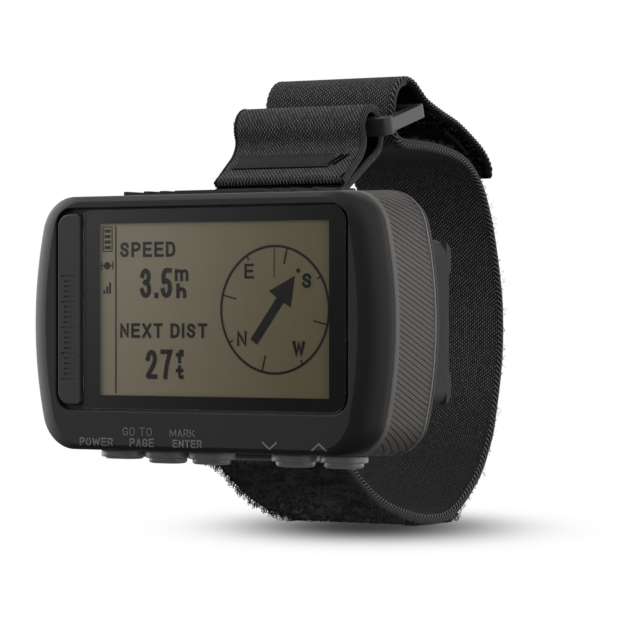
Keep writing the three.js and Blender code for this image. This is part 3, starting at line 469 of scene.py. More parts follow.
def new_object(name, points, faces, crease=35):
    """A mesh of points in metres, its faces turned outwards, smooth except at creases."""
    mesh = bpy.data.meshes.new(name)
    mesh.from_pydata(np.asarray(points, float).tolist(), [], faces)
    edit = bmesh.new()
    edit.from_mesh(mesh)
    bmesh.ops.recalc_face_normals(edit, faces=edit.faces)
    edit.to_mesh(mesh)
    edit.free()
    piece = add_object(name, mesh)
    smooth(piece, crease)
    return piece


def smooth(piece, crease=35):
    mesh = piece.data
    mesh.polygons.foreach_set("use_smooth", [True] * len(mesh.polygons))
    mesh.set_sharp_from_angle(angle=math.radians(crease))


def level_normals(piece):
    """Large flat faces keep their own normal, and only the small faces round an edge bend."""
    weigh = piece.modifiers.new("normals", "WEIGHTED_NORMAL")
    weigh.keep_sharp = True
    weigh.weight = 100


def loft_faces(levels, count, cyclic=False):
    """Quads between rings of `count` points, numbered level by level, and a cap at each open end."""
    level, step = np.meshgrid(np.arange(levels if cyclic else levels - 1), np.arange(count), indexing="ij")
    ahead = (level + 1) % levels
    side = (step + 1) % count
    quads = np.stack([level * count + step, level * count + side, ahead * count + side,
                      ahead * count + step], axis=-1).reshape(-1, 4).tolist()
    if not cyclic:
        quads.append(list(range(count)))
        quads.append(list(range((levels - 1) * count, levels * count)))
    return quads


def lofted(name, rings, cyclic=False, crease=35):
    """A closed surface through rings of points, which are in the device's own millimetres."""
    rings = np.asarray(rings, float)
    points = in_device(rings.reshape(-1, 3))
    return new_object(name, points, loft_faces(len(rings), rings.shape[1], cyclic), crease)


def arc(centre_x, centre_z, radius, start, end, count):
    angle = np.radians(np.linspace(start, end, count))
    return np.stack([centre_x + radius * np.cos(angle), centre_z + radius * np.sin(angle)], axis=1)


def rounded_rect(x0, x1, z0, z1, radius, left=None, count=10):
    """A rectangle with round corners; those on the left can have their own radius."""
    left = radius if left is None else left
    return np.concatenate([
        arc(x1 - radius, z0 + radius, radius, -90, 0, count),
        arc(x1 - radius, z1 - radius, radius, 0, 90, count),
        arc(x0 + left, z1 - left, left, 90, 180, count),
        arc(x0 + left, z0 + left, left, 180, 270, count),
    ])


HALF_LENGTH = 33.7
HALF_HEIGHT = 20.4
CORNER_R = 6.5
END_BOW_R = 69.0


def case_outline(inset=0.0):
    """Straight top and bottom, round corners and bowed ends, as in the CAD source."""
    corner_z = HALF_HEIGHT - CORNER_R
    tilt = math.degrees(math.asin(corner_z / (END_BOW_R - CORNER_R)))
    bow_x = HALF_LENGTH - END_BOW_R
    corner_x = bow_x + (END_BOW_R - CORNER_R) * math.cos(math.radians(tilt))
    bow = END_BOW_R - inset
    corner = CORNER_R - inset
    straight = np.linspace(-corner_x, corner_x, 30)[1:-1]
    low = np.stack([straight, np.full(len(straight), -corner_z - corner)], axis=1)
    return np.concatenate([
        low,
        arc(corner_x, -corner_z, corner, -90, -tilt, 14),
        arc(bow_x, 0, bow, -tilt, tilt, 20)[1:-1],
        arc(corner_x, corner_z, corner, tilt, 90, 14),
        -low,
        arc(-corner_x, corner_z, corner, 90, 180 - tilt, 14),
        arc(-bow_x, 0, bow, 180 - tilt, 180 + tilt, 20)[1:-1],
        arc(-corner_x, -corner_z, corner, 180 + tilt, 270, 14),
    ])


def at_depth(outline, y, scale_x=1.0, scale_z=1.0):
    """An outline in x and z, set at a depth."""
    return np.stack([outline[:, 0] * scale_x, np.full(len(outline), y), outline[:, 1] * scale_z], axis=1)


def slab(name, outline, y0, y1):
    return lofted(name, [at_depth(outline, y0), at_depth(outline, y1)])


def block(name, x0, x1, y0, y1, z0, z1):
    corners = np.array([(x0, z0), (x1, z0), (x1, z1), (x0, z1)], float)
    return slab(name, corners, y0, y1)


def boolean(piece, cutters, crease=35):
    """Cuts the cutters from the piece and removes them."""
    for cutter in cutters:
        step = piece.modifiers.new("cut", "BOOLEAN")
        step.operation = "DIFFERENCE"
        step.solver = "MANIFOLD"
        step.object = cutter
    graph = bpy.context.evaluated_depsgraph_get()
    mesh = bpy.data.meshes.new_from_object(piece.evaluated_get(graph))
    piece.modifiers.clear()
    piece.data = mesh
    for cutter in cutters:
        bpy.data.objects.remove(cutter)
    smooth(piece, crease)


def joined(name, pieces):
    """One object of several closed meshes."""
    whole = bmesh.new()
    for piece in pieces:
        whole.from_mesh(piece.data)
        bpy.data.objects.remove(piece)
    mesh = bpy.data.meshes.new(name)
    whole.to_mesh(mesh)
    whole.free()
    piece = add_object(name, mesh)
    smooth(piece)
    return piece


def finish_piece(piece, body, slot, material=None, replaces=()):
    """Gives a piece the material of `material` or `slot` and its body, and hides the CAD nodes it stands
    for.
    """
    if replaces:
        level_normals(piece)
    piece.data.materials.clear()
    piece.data.materials.append(MATERIALS[material or slot])
    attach(piece, body)
    if replaces:
        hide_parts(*replaces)
    return piece


def refined(node, slot, width, material=None):
    """A CAD piece with rounded edges: welded, cleared of flat triangles and bevelled."""
    edit = bmesh.new()
    edit.from_mesh(NODES[node].data)
    bmesh.ops.remove_doubles(edit, verts=edit.verts, dist=1e-6)
    bmesh.ops.dissolve_limit(edit, angle_limit=math.radians(1), verts=edit.verts, edges=edit.edges)
    sharp = [edge for edge in edit.edges
             if len(edge.link_faces) == 2 and edge.calc_face_angle() > math.radians(35)]
    bmesh.ops.bevel(edit, geom=sharp, offset=width * MM, segments=3, profile=0.5,
                    affect="EDGES", clamp_overlap=True)
    mesh = bpy.data.meshes.new(node + "_body")
    edit.to_mesh(mesh)
    edit.free()
    piece = add_object(node + "_body", mesh)
    smooth(piece, 32)
    finish_piece(piece, BODY_OF[node], slot, material, (node,))


# ---- Front: bezel, nameplate, lens and display --------------------------------------------------
SCREEN_X, SCREEN_Z = 2.5, 2.2
LCD_HALF_W, LCD_HALF_H = 21.6, 13.75
LENS_LEFT, LENS_RIGHT, LENS_HALF_H = -22.0, 27.4, 15.9
PLATE_LEFT, PLATE_RIGHT, PLATE_HALF_H = -27.15, -22.5, 15.4
BEZEL_DEPTH, END_ROUND, LONG_ROUND = 4.1, 4.2, 1.4
BEZEL_SKIN, SIDE_WALL = 2.3, 2.2
POCKET_GAP, POCKET_R = 0.3, 2.8
SEAM = 0.15
FIRST_TURN = 0.2
LONG_START = 0.88


def bezel_level(turn):
    """The bezel's outline at a turn of its front edge, which starts with a faint crease."""
    begin = math.cos(FIRST_TURN)
    depth = BEZEL_DEPTH * (begin - math.cos(turn)) / begin
    length = HALF_LENGTH - END_ROUND * (1 - math.sin(turn)) / (1 - math.sin(FIRST_TURN))
    left = max(0.0, 1 - depth / LONG_ROUND)
    height = HALF_HEIGHT - LONG_ROUND * (1 - math.sqrt(1 - LONG_START * left * left))
    return at_depth(case_outline(), depth, length / HALF_LENGTH, height / HALF_HEIGHT)


def build_bezel():
    """The front shell, with a flared pocket for the lens and nameplate and a window for the display."""
    levels = [bezel_level(turn) for turn in np.linspace(FIRST_TURN, math.pi / 2, 22)]
    seam = levels[-1].copy()
    seam[:, (0, 2)] *= 0.995
    levels[-1][:, 1] -= SEAM
    body = lofted("bezel_shell", levels + [seam])
    hollow = slab("hollow", case_outline(SIDE_WALL), BEZEL_SKIN, BEZEL_DEPTH + 1)
    flare = [(-1.0, 0.55), (-0.35, 0.55), (0.02, 0.2), (0.16, 0.07), (0.4, 0.0), (1.0, 0.0)]
    rings = []
    for depth, out in flare:
        reach = POCKET_GAP + out
        outline = rounded_rect(PLATE_LEFT - reach, LENS_RIGHT + reach, SCREEN_Z - LENS_HALF_H - reach,
                               SCREEN_Z + LENS_HALF_H + reach, POCKET_R + out)
        rings.append(at_depth(outline, depth))
    half_w, half_h = LCD_HALF_W + 0.6, LCD_HALF_H + 0.6
    window = block("window", SCREEN_X - half_w, SCREEN_X + half_w, 0.5, BEZEL_SKIN + 0.7,
                   SCREEN_Z - half_h, SCREEN_Z + half_h)
    boolean(body, [hollow, lofted("pocket", rings), window], 10)
    return finish_piece(body, "root", "bezel", replaces=("front_bezel",))


PLATE_FRONT, PLATE_BACK = 0.1, 0.8


def softened_plate(name, x0, x1, half_height, radius, left, soft):
    """A flat plate behind the bezel face, whose front edge is rounded by `soft`."""
    low, high = SCREEN_Z - half_height, SCREEN_Z + half_height
    steps = [(PLATE_FRONT, soft), (PLATE_FRONT + 0.3 * soft, 0.3 * soft), (PLATE_FRONT + soft, 0.0),
             (PLATE_BACK, 0.0)]
    rings = [at_depth(rounded_rect(x0 + i, x1 - i, low + i, high - i, radius - i, left - i, 16), y)
             for y, i in steps]
    return lofted(name, rings, crease=12)


def build_nameplate():
    """The plate carries a plain scale of sunk ticks, every fifth one longer."""
    plate = softened_plate("nameplate_panel", PLATE_LEFT, PLATE_RIGHT, PLATE_HALF_H, 0.9, 2.2, 0.25)
    ticks = []
    middle_x, middle_z = (PLATE_LEFT + PLATE_RIGHT) / 2 - 0.2, SCREEN_Z - 2.9
    pitch, half, sink = 0.83, 0.13, 0.28
    for index in range(-10, 11):
        reach = 1.35 if index % 5 == 0 else 0.75
        z = middle_z + index * pitch
        ticks.append(block("tick", middle_x - reach, middle_x + reach, -0.5, sink, z - half, z + half))
    boolean(plate, ticks, 12)
    finish_piece(plate, "root", "nameplate", replaces=("nameplate",))


def build_lens():
    """The window, and the black border printed behind it round the display."""
    lens = softened_plate("lens_window", LENS_LEFT, LENS_RIGHT, LENS_HALF_H, 2.5, 0.4, 0.02)
    finish_piece(lens, "root", "lens", replaces=("display_lens",))
    lens.visible_shadow = False
    inset = 0.05
    outline = rounded_rect(LENS_LEFT + inset, LENS_RIGHT - inset, SCREEN_Z - LENS_HALF_H + inset,
                           SCREEN_Z + LENS_HALF_H - inset, 2.4, 0.35)
    border = slab("lens_border", outline, PLATE_BACK + 0.02, PLATE_BACK + 0.10)
    hole = block("hole", SCREEN_X - LCD_HALF_W, SCREEN_X + LCD_HALF_W, 0.5, 1.2,
                 SCREEN_Z - LCD_HALF_H, SCREEN_Z + LCD_HALF_H)
    boolean(border, [hole])
    finish_piece(border, "root", "lens", "border")


INK_FRONT = 1.05
INK_BACK = 1.10


def ink_slab(name, outline):
    return slab(name, outline, INK_FRONT, INK_BACK)


def bar_shape(name, start, end, width):
    """A straight stroke of the display between two points in x and z."""
    start, end = np.array(start, float), np.array(end, float)
    along = (end - start) / np.linalg.norm(end - start)
    side = np.array([-along[1], along[0]]) * width / 2
    return ink_slab(name, np.array([start - side, end - side, end + side, start + side]))


def ring_shape(name, centre, radius, width):
    outer = arc(*centre, radius + width / 2, 0, 360, 97)[:-1]
    inner = arc(*centre, radius - width / 2, 0, 360, 97)[:-1]
    section = [at_depth(outer, INK_FRONT), at_depth(outer, INK_BACK), at_depth(inner, INK_BACK),
               at_depth(inner, INK_FRONT)]
    return lofted(name, section, cyclic=True)


def stroke(name, points, width, y0=INK_FRONT, y1=INK_BACK):
    """An even stroke along a bent line in x and z, with mitred bends and square ends."""
    points = np.array(points, float)
    along = np.diff(points, axis=0)
    along /= np.linalg.norm(along, axis=1)[:, None]
    points[0] -= along[0] * width / 2
    points[-1] += along[-1] * width / 2
    before, after = np.concatenate([along[:1], along]), np.concatenate([along, along[-1:]])
    bisector = before + after
    bisector /= np.linalg.norm(bisector, axis=1)[:, None] + 1e-9
    side = np.stack([-bisector[:, 1], bisector[:, 0]], axis=1)
    reach = np.clip(np.sum(bisector * after, axis=1), 0.6, 1)
    side = side * (width / 2 / reach)[:, None]
    corners = [(points + side, y0), (points - side, y0), (points - side, y1), (points + side, y1)]
    rings = np.stack([at_depth(line, y) for line, y in corners], axis=1)
    return lofted(name, rings)


# Generic capitals, units and digits as bent lines inside a unit square.
BOWL = [(0, 0.46), (0.6, 0.46), (0.92, 0.57), (1, 0.73), (0.92, 0.9), (0.6, 1), (0, 1), (0, 0)]
ROUND = [(0.5, 1), (0.2, 0.93), (0.03, 0.72), (0, 0.5), (0.03, 0.28), (0.2, 0.07), (0.5, 0)]
GLYPHS = {
    "A": [[(0, 0), (0.5, 1), (1, 0)], [(0.2, 0.3), (0.8, 0.3)]],
    "D": [[(0, 0), (0, 1), (0.5, 1), (0.82, 0.92), (1, 0.7), (1, 0.3), (0.82, 0.08), (0.5, 0), (0, 0)]],
    "E": [[(1, 1), (0, 1), (0, 0), (1, 0)], [(0, 0.52), (0.88, 0.52)]],
    "G": [[(0.97, 0.76), (0.8, 0.94), *ROUND, (0.8, 0.06), (1, 0.2), (1, 0.46), (0.55, 0.46)]],
    "I": [[(0.5, 0), (0.5, 1)]],
    "K": [[(0, 0), (0, 1)], [(1, 1), (0, 0.36)], [(0.34, 0.58), (1, 0)]],
    "M": [[(0, 0), (0, 1), (0.5, 0.15), (1, 1), (1, 0)]],
    "N": [[(0, 0), (0, 1), (1, 0), (1, 1)]],
    "O": [[*ROUND, (0.8, 0.07), (0.97, 0.28), (1, 0.5), (0.97, 0.72), (0.8, 0.93), (0.5, 1)]],
    "P": [BOWL],
    "R": [BOWL, [(0.55, 0.46), (1, 0)]],
    "S": [[(0.95, 0.76), (0.8, 0.94), (0.5, 1), (0.2, 0.95), (0.04, 0.76), (0.2, 0.58), (0.8, 0.44),
           (0.97, 0.25), (0.8, 0.06), (0.5, 0), (0.2, 0.06), (0.02, 0.24)]],
    "T": [[(0, 1), (1, 1)], [(0.5, 1), (0.5, 0)]],
    "W": [[(0, 1), (0.24, 0), (0.5, 0.85), (0.76, 0), (1, 1)]],
    "X": [[(0, 0), (1, 1)], [(0, 1), (1, 0)]],
    "f": [[(1, 0.97), (0.66, 1), (0.46, 0.84), (0.46, 0)], [(0, 0.64), (0.95, 0.64)]],
    "h": [[(0, 0), (0, 1)], [(0, 0.5), (0.35, 0.66), (0.8, 0.63), (1, 0.45), (1, 0)]],
    "m": [[(0, 0), (0, 1)], [(0, 0.8), (0.25, 1), (0.5, 0.85), (0.5, 0)],
          [(0.5, 0.8), (0.75, 1), (1, 0.85), (1, 0)]],
    "t": [[(0.46, 1), (0.46, 0.15), (0.66, 0), (1, 0.03)], [(0, 0.66), (0.95, 0.66)]],
    "2": [[(0.02, 0.72), (0.15, 0.92), (0.5, 1), (0.85, 0.92), (0.97, 0.72), (0.85, 0.5), (0.1, 0.1),
           (0, 0), (1, 0)]],
    "3": [[(0.03, 0.8), (0.2, 0.96), (0.5, 1), (0.82, 0.93), (0.94, 0.75), (0.8, 0.58), (0.42, 0.53)],
          [(0.42, 0.53), (0.85, 0.45), (1, 0.25), (0.84, 0.06), (0.5, 0), (0.18, 0.05), (0, 0.22)]],
    "5": [[(0.95, 1), (0.14, 1), (0.06, 0.5), (0.5, 0.62), (0.86, 0.53), (1, 0.3), (0.86, 0.07), (0.5, 0),
           (0.16, 0.06), (0, 0.22)]],
    "7": [[(0, 1), (1, 1), (0.58, 0.5), (0.38, 0)]],
    ".": [[(0.5, 0), (0.5, 0.03)]],
}
ROUND_GLYPHS = "SGOhmft235"
GLYPH_WIDTH = {"I": 0.16, ".": 0.18, " ": 0.22, "M": 0.82, "W": 0.95}


def lettering(text, x0, x1, z0, z1, width, y0=INK_FRONT, y1=INK_BACK, step=2.0):
    """Words and numbers that fill a box in x and z, as a list of strokes."""
    gap = 0.17
    widths = [GLYPH_WIDTH.get(letter, 0.62) for letter in text]
    unit = (x1 - x0) / (sum(widths) + gap * (len(text) - 1))
    strokes = []
    left = x0
    for letter, share in zip(text, widths):
        for line in GLYPHS.get(letter, []):
            line = rounded(np.array(line)) if letter in ROUND_GLYPHS else np.array(line)
            wide, tall = max(share * unit - width, 0.0), z1 - z0 - width
            line = np.array([left + width / 2, z0 + width / 2]) + line * np.array([wide, tall])
            strokes.append(stroke("letter", finely(line, step), width, y0, y1))
        left += (share + gap) * unit
    return strokes


def rounded(line):
    """Cuts the corners of a bent line, twice."""
    for _ in range(2):
        near = line[:-1] * 0.75 + line[1:] * 0.25
        far = line[:-1] * 0.25 + line[1:] * 0.75
        line = np.concatenate([line[:1], np.stack([near, far], axis=1).reshape(-1, 2), line[-1:]])
    return line


def finely(line, step):
    """Splits a bent line into steps no longer than `step`."""
    points = [line[0]]
    for start, end in zip(line, line[1:]):
        count = max(1, math.ceil(np.linalg.norm(end - start) / step))
        points.extend(start + (end - start) * (index + 1) / count for index in range(count))
    return points


def on_screen(x, z):
    """A point of the picture, measured from the middle of the screen."""
    return SCREEN_X + x, SCREEN_Z + z


def screen_word(text, x0, x1, z0, z1, width):
    left, low = on_screen(x0, z0)
    right, high = on_screen(x1, z1)
    return lettering(text, left, right, low, high, width)


# The places of the display's icons, words and compass, and of the key labels below, were measured
# off the photo: a scratch program carried points of it through the fitted camera to millimetres.
BATTERY_LEFT, BATTERY_LOW, BATTERY_W, BATTERY_H = -21.1, 9.3, 1.75, 3.9
FIX_X, FIX_Z = -20.3, 7.0


def build_icons():
    """A rule beside the icons, a battery level, a position fix and signal bars."""
    strokes = [bar_shape("rule", on_screen(-18.6, 13.4), on_screen(-18.6, -13.4), 0.22)]
    right, high = BATTERY_LEFT + BATTERY_W, BATTERY_LOW + BATTERY_H
    corners = [(BATTERY_LEFT, BATTERY_LOW), (right, BATTERY_LOW), (right, high), (BATTERY_LEFT, high)]
    for start, end in zip(corners, corners[1:] + corners[:1]):
        strokes.append(bar_shape("cell", on_screen(*start), on_screen(*end), 0.16))
    for level in range(4):
        z = BATTERY_LOW + 0.62 + level * 0.88
        start, end = on_screen(BATTERY_LEFT + 0.3, z), on_screen(right - 0.3, z)
        strokes.append(bar_shape("level", start, end, 0.54))
    strokes.append(ink_slab("fix", arc(*on_screen(FIX_X, FIX_Z), 0.62, 0, 330, 12)))
    for side in (-1.1, 1.1):
        x = FIX_X + side
        strokes.append(bar_shape("wing", on_screen(x, FIX_Z - 0.65), on_screen(x, FIX_Z + 0.65), 0.18))
        strokes.append(bar_shape("arm", on_screen(FIX_X, FIX_Z), on_screen(x, FIX_Z), 0.2))
    for level in range(3):
        x = -20.85 + level * 0.55
        strokes.append(bar_shape("signal", on_screen(x, 2.5), on_screen(x, 3.1 + level * 0.6), 0.34))
    finish_piece(joined("screen_icons", strokes), "root", "lcd", "ink")


# Each word with its left, right, low and high edge and its stroke width.
READINGS = [
    ("SPEED", -17.77, -7.13, 8.33, 10.75, 0.46), ("3.5", -13.88, -7.71, 1.76, 6.56, 0.76),
    ("m", -7.2, -4.6, 4.45, 6.4, 0.5), ("h", -6.9, -5.0, 1.76, 4.1, 0.62),
    ("NEXT DIST", -17.77, -1.05, -4.55, -2.21, 0.46), ("27", -12.79, -7.71, -11.07, -6.35, 0.76),
    ("f", -7.0, -5.5, -8.55, -6.31, 0.56), ("t", -7.0, -5.5, -11.05, -8.85, 0.56),
]


def build_readings():
    words = []
    for row in READINGS:
        words += screen_word(*row)
    finish_piece(joined("screen_readings", words), "root", "lcd", "ink")


COMPASS = (11.52, -0.08)
COMPASS_R = 9.9
# Each letter with its middle, half its width and its stroke width.
COMPASS_LETTERS = [
    ("E", 6.82, 5.94, 0.88, 0.42), ("S", 17.4, 4.42, 0.88, 0.5), ("N", 5.46, -4.58, 0.88, 0.4),
    ("W", 15.95, -6.08, 1.15, 0.6),
]
LETTER_HALF_H = 1.17


def build_compass():
    """A ring with long and short ticks, four letters, a heading line and an arrow."""
    dial = [ring_shape("dial", on_screen(*COMPASS), COMPASS_R, 0.38)]
    centre = np.array(on_screen(*COMPASS))
    for index in range(8):
        angle = math.radians(76.5) + index * math.pi / 4
        ray = np.array([math.cos(angle), math.sin(angle)])
        inner = COMPASS_R - (2.6 if index % 2 == 0 else 0.8)
        dial.append(bar_shape("tick", centre + ray * inner, centre + ray * COMPASS_R, 0.24))
    dial.append(bar_shape("heading", on_screen(11.44, 9.79), on_screen(11.44, 4.88), 0.12))
    for letter, x, z, half, line in COMPASS_LETTERS:
        dial += screen_word(letter, x - half, x + half, z - LETTER_HALF_H, z + LETTER_HALF_H, line)
    dial.append(bar_shape("shaft", on_screen(7.67, -5.09), on_screen(12.75, 1.72), 1.5))
    head = [(15.24, 5.16), (10.5, 2.87), (12.3, 1.5), (14.47, 0.29)]
    dial.append(ink_slab("head", np.array([on_screen(*point) for point in head])))
    dial.append(ink_slab("mark", arc(*on_screen(15.84, 5.96), 0.36, 0, 330, 12)))
    finish_piece(joined("screen_compass", dial), "root", "lcd", "ink")


def lay_on(piece, ground, lift):
    """Lays each point of a thin print on the surface behind it, and `lift` millimetres off it."""
    mesh = piece.data
    middle = sum(vertex.co.y for vertex in mesh.vertices) / len(mesh.vertices)
    for vertex in mesh.vertices:
        start = Vector((vertex.co.x, FRONT_Y - 0.01, vertex.co.z))
        hit, place, _, _ = ground.ray_cast(start, Vector((0, 1, 0)))
        if hit:
            vertex.co.y = place.y + (vertex.co.y - middle) - lift * MM


LABEL_THICK = 0.05
# Each word with its left, right, low and high edge and its stroke width.
LABELS = [
    ("POWER", -25.13, -18.63, -21.89, -20.58, 0.2), ("GO TO", -16.68, -11.05, -20.13, -18.81, 0.13),
    ("PAGE", -15.31, -10.67, -21.87, -20.54, 0.2), ("MARK", -7.6, -2.84, -20.12, -18.96, 0.13),
    ("ENTER", -7.02, -1.51, -21.82, -20.6, 0.2),
]
CHEVRON_Z, CHEVRON_HALF_W, CHEVRON_HALF_H = -21.2, 1.25, 0.5
LABEL_STEP = 0.2


def build_labels(bezel):
    """Key names printed on the lower edge of the bezel, and arrows for the up and down keys."""
    prints = []
    for text, x0, x1, z0, z1, width in LABELS:
        left, low = on_screen(x0, z0)
        right, high = on_screen(x1, z1)
        prints += lettering(text, left, right, low, high, width, 0, LABEL_THICK, LABEL_STEP)
    for x, way in ((11.1, -CHEVRON_HALF_H), (20.1, CHEVRON_HALF_H)):
        feet = [on_screen(x + side, CHEVRON_Z - way) for side in (-CHEVRON_HALF_W, CHEVRON_HALF_W)]
        line = finely(np.array([feet[0], on_screen(x, CHEVRON_Z + way), feet[1]]), LABEL_STEP)
        prints.append(stroke("chevron", line, 0.24, 0, LABEL_THICK))
    whole = joined("key_labels", prints)
    bpy.context.view_layer.update()
    lay_on(whole, bezel, 0.02)
    finish_piece(whole, "root", "bezel", "label")


# ---- Middle: grip band and keys -----------------------------------------------------------------
BAND_FRONT, BAND_BACK = 4.4, 14.4
BUTTON_Y = 8.6
BUTTON_X = {"power": -19.9, "page": -11.3, "enter": -2.85, "down": 13.0, "up": 21.9}


def band_scale(y):
    """The band widens towards the back."""
    share = (y - BAND_FRONT) / (BAND_BACK - BAND_FRONT)
    return 1 + 0.05 * share, 1.008 + 0.017 * share


def band_ring(y, inset=0.0):
    grown = at_depth(case_outline(), y, *band_scale(y))
    grown[:, 0] *= 1 - inset / HALF_LENGTH
    grown[:, 2] *= 1 - inset / HALF_HEIGHT
    return grown


def stadium(x, half_x, half_y, z):
    """A stadium outline in x and depth, at a height."""
    right = arc(x + half_x - half_y, BUTTON_Y, half_y, -90, 90, 14)
    left = arc(x - half_x + half_y, BUTTON_Y, half_y, 90, 270, 14)
    outline = np.concatenate([right, left])
    return np.stack([outline[:, 0], outline[:, 1], np.full(len(outline), z)], axis=1)


GROOVE_SLOPE, GROOVE_PITCH, GROOVE_WIDTH, GROOVE_DEPTH = 0.49, 0.87, 0.14, 0.28


def groove_cutters():
    """Thin parallel slabs that slope down towards the back, kept to the skin of both ends."""
    front, back = BAND_FRONT + 1.1, BAND_BACK - 0.75
    half = GROOVE_WIDTH / 2
    plates = []
    for index in range(-24, 32):
        middle = index * GROOVE_PITCH + 0.4
        for x0, x1 in ((-40, -21.5), (21.5, 40)):
            rings = []
            for y in (front, back):
                z = middle - GROOVE_SLOPE * (y - BAND_FRONT)
                rings.append([[x0, y, z - half], [x1, y, z - half], [x1, y, z + half], [x0, y, z + half]])
            plates.append(lofted("groove", rings))
    plates = joined("grooves", plates)
    core_rings = [band_ring(y, GROOVE_DEPTH) for y in np.linspace(BAND_FRONT - 1, BAND_BACK + 1, 4)]
    boolean(plates, [lofted("core", core_rings)])
    return plates


# Beds and holes are boxes in x, y and z. Key rooms have half sizes in x and y.
PAD_BED = (-18.7, 18.7, 5.9, 12.1, 18.75, 23)
KEY_POCKET, KEY_POCKET_TOP = (4.35, 3.05), -19.75
KEY_HOLE, KEY_HOLE_TOP = (2.9, 1.8), -15
BELOW_KEYS = -25
CAP_BED = (-40, -32.9, 5.2, 12.0, -5.5, 5.5)
PORT_HOLE = (-40, -30, 6.9, 10.3, -4.3, 4.3)


def build_band():
    """The grip round the case: grooved between two smooth rims, with beds for what sits in it."""
    profile = [(BAND_FRONT, 0.35), (BAND_FRONT + 0.1, 0.12), (BAND_FRONT + 0.3, 0.02),
               (BAND_FRONT + 0.95, 0.0), (BAND_FRONT + 1.05, 0.1), (9.4, 0.1), (BAND_BACK - 0.65, 0.1),
               (BAND_BACK - 0.55, 0.0), (BAND_BACK - 0.25, 0.02), (BAND_BACK - 0.08, 0.1), (BAND_BACK, 0.3)]
    band = lofted("band_shell", [band_ring(y, inset) for y, inset in profile])
    cutters = [slab("inner", case_outline(SIDE_WALL), BAND_FRONT - 1, BAND_BACK + 1)]
    cutters.append(block("pad_bed", *PAD_BED))
    for x in BUTTON_X.values():
        for size, top in ((KEY_POCKET, KEY_POCKET_TOP), (KEY_HOLE, KEY_HOLE_TOP)):
            cutters.append(lofted("key_room", [stadium(x, *size, BELOW_KEYS), stadium(x, *size, top)]))
    cutters.append(block("cap_bed", *CAP_BED))
    cutters.append(block("port_hole", *PORT_HOLE))
    boolean(band, cutters)
    boolean(band, [groove_cutters()])
    finish_piece(band, "root", "grip_band", replaces=("grip_band",))
    band.data.materials.append(MATERIALS["grip_rim"])
    front, back = FRONT_Y + (BAND_FRONT + 0.98) * MM, FRONT_Y + (BAND_BACK - 0.6) * MM
    for face in band.data.polygons:
        if not front < face.center.y < back:
            face.material_index = 1


# A key's stem and flange: half sizes in x and y, and height.
KEY_NECK = [
    (2.5, 1.4, -17.9), (2.5, 1.4, -20.65), (3.85, 2.55, -20.65), (4.0, 2.7, -20.8), (4.0, 2.7, -21.5),
    (3.93, 2.63, -21.68), (3.75, 2.45, -21.75), (3.42, 2.2, -21.77), (3.3, 2.1, -21.8),
]
KEY_FACE_Z = -21.75
# The cap's half sizes at shares of its drop below the flange.
KEY_CAP = [(3.3, 2.1, 0.45), (3.22, 2.02, 0.72), (2.98, 1.78, 0.9), (2.4, 1.3, 0.98), (1.4, 0.6, 1.0)]


def build_keys():
    """Five keys with a stem, a flange and a domed cap. The power key's cap is flatter."""
    for name, x in BUTTON_X.items():
        drop = 0.35 if name == "power" else 0.9
        cap = [(half_x, half_y, KEY_FACE_Z - share * drop) for half_x, half_y, share in KEY_CAP]
        key = lofted(name + "_key", [stadium(x, *size) for size in KEY_NECK + cap], crease=50)
        finish_piece(key, name + "_button", "keys", replaces=(name + "_button",))


# ---- Straps: paths, ribbons, edges and fibres ---------------------------------------------------
def round_bar(centre, radius, start, end, count):
    """Route points round a strap bar, from one angle to another."""
    angle = np.radians(np.linspace(start, end, count + 1))
    return [(centre[0] + radius * math.cos(a), centre[1] + radius * math.sin(a)) for a in angle]


def middle_of(node):
    low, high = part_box(node)
    return (low + high) / 2 / MM


TOP_BAR = middle_of("strap_bar_top")[1:]
LOW_BAR = middle_of("strap_bar_bottom")[1:]

# Route points are in Y and Z of the whole object.
LOOP_ROUTE = [
    (-15.3, 56.9), (-12.2, 59.4), (-9.5, 61.8), (-8.6, 63.9), (-9.1, 66.3), (-8.5, 68.2), (-6.8, 69.3),
    (-5.0, 69.0), (-3.9, 67.2), (-3.3, 64.6), (-4.0, 62.7), (-7.2, 60.5), (-11.2, 58.0), (-15.2, 55.5),
    *round_bar(TOP_BAR, 1.62, 330, 110, 6),
]

WRIST_ROUTE = [
    (-12.2, 12.3), (-15.3, 14.7),
    *round_bar(LOW_BAR, 2.05, 60, 235, 5),
    (-18.9, 12.55), (-15.7, 11.7), (-12.4, 9.9), (-9.3, 7.8), (-5.6, 5.6), (-2.2, 4.1), (1.4, 2.9),
    (5.2, 1.95), (8.9, 1.2), (12.2, 0.78), (15.2, 0.68), (18.3, 0.85), (21.9, 1.85), (25.5, 3.85),
    (28.5, 6.1), (31.2, 8.6), (33.3, 11.7),
    (34.9, 14.6), (36.4, 19.4), (37.6, 24.2), (38.35, 28.5), (38.55, 32.7), (38.3, 38.0), (37.6, 41.6),
    (36.8, 44.8), (35.8, 48.2), (34.6, 51.6), (33.1, 54.8), (31.2, 57.7), (28.8, 60.0), (25.4, 61.9),
    (21.3, 63.0), (15.7, 63.7), (9.5, 64.0), (4.6, 64.1), (2.0, 65.0), (1.0, 67.0), (1.0, 69.6),
    (1.5, 71.9), (2.9, 73.7), (5.0, 74.5), (7.3, 74.1),
]
TAIL_ROUTE = [(9.56, 72.7), (11.6, 71.4), (16.4, 69.7), (22.7, 67.85), (28.4, 65.3), (31.3, 63.7),
              (33.3, 62.0), (34.1, 60.5), (33.7, 59.3)]
HOOK_ROUTE = [(20.8, 66.95), (24.0, 65.8), (26.9, 64.45), (28.9, 63.35)]


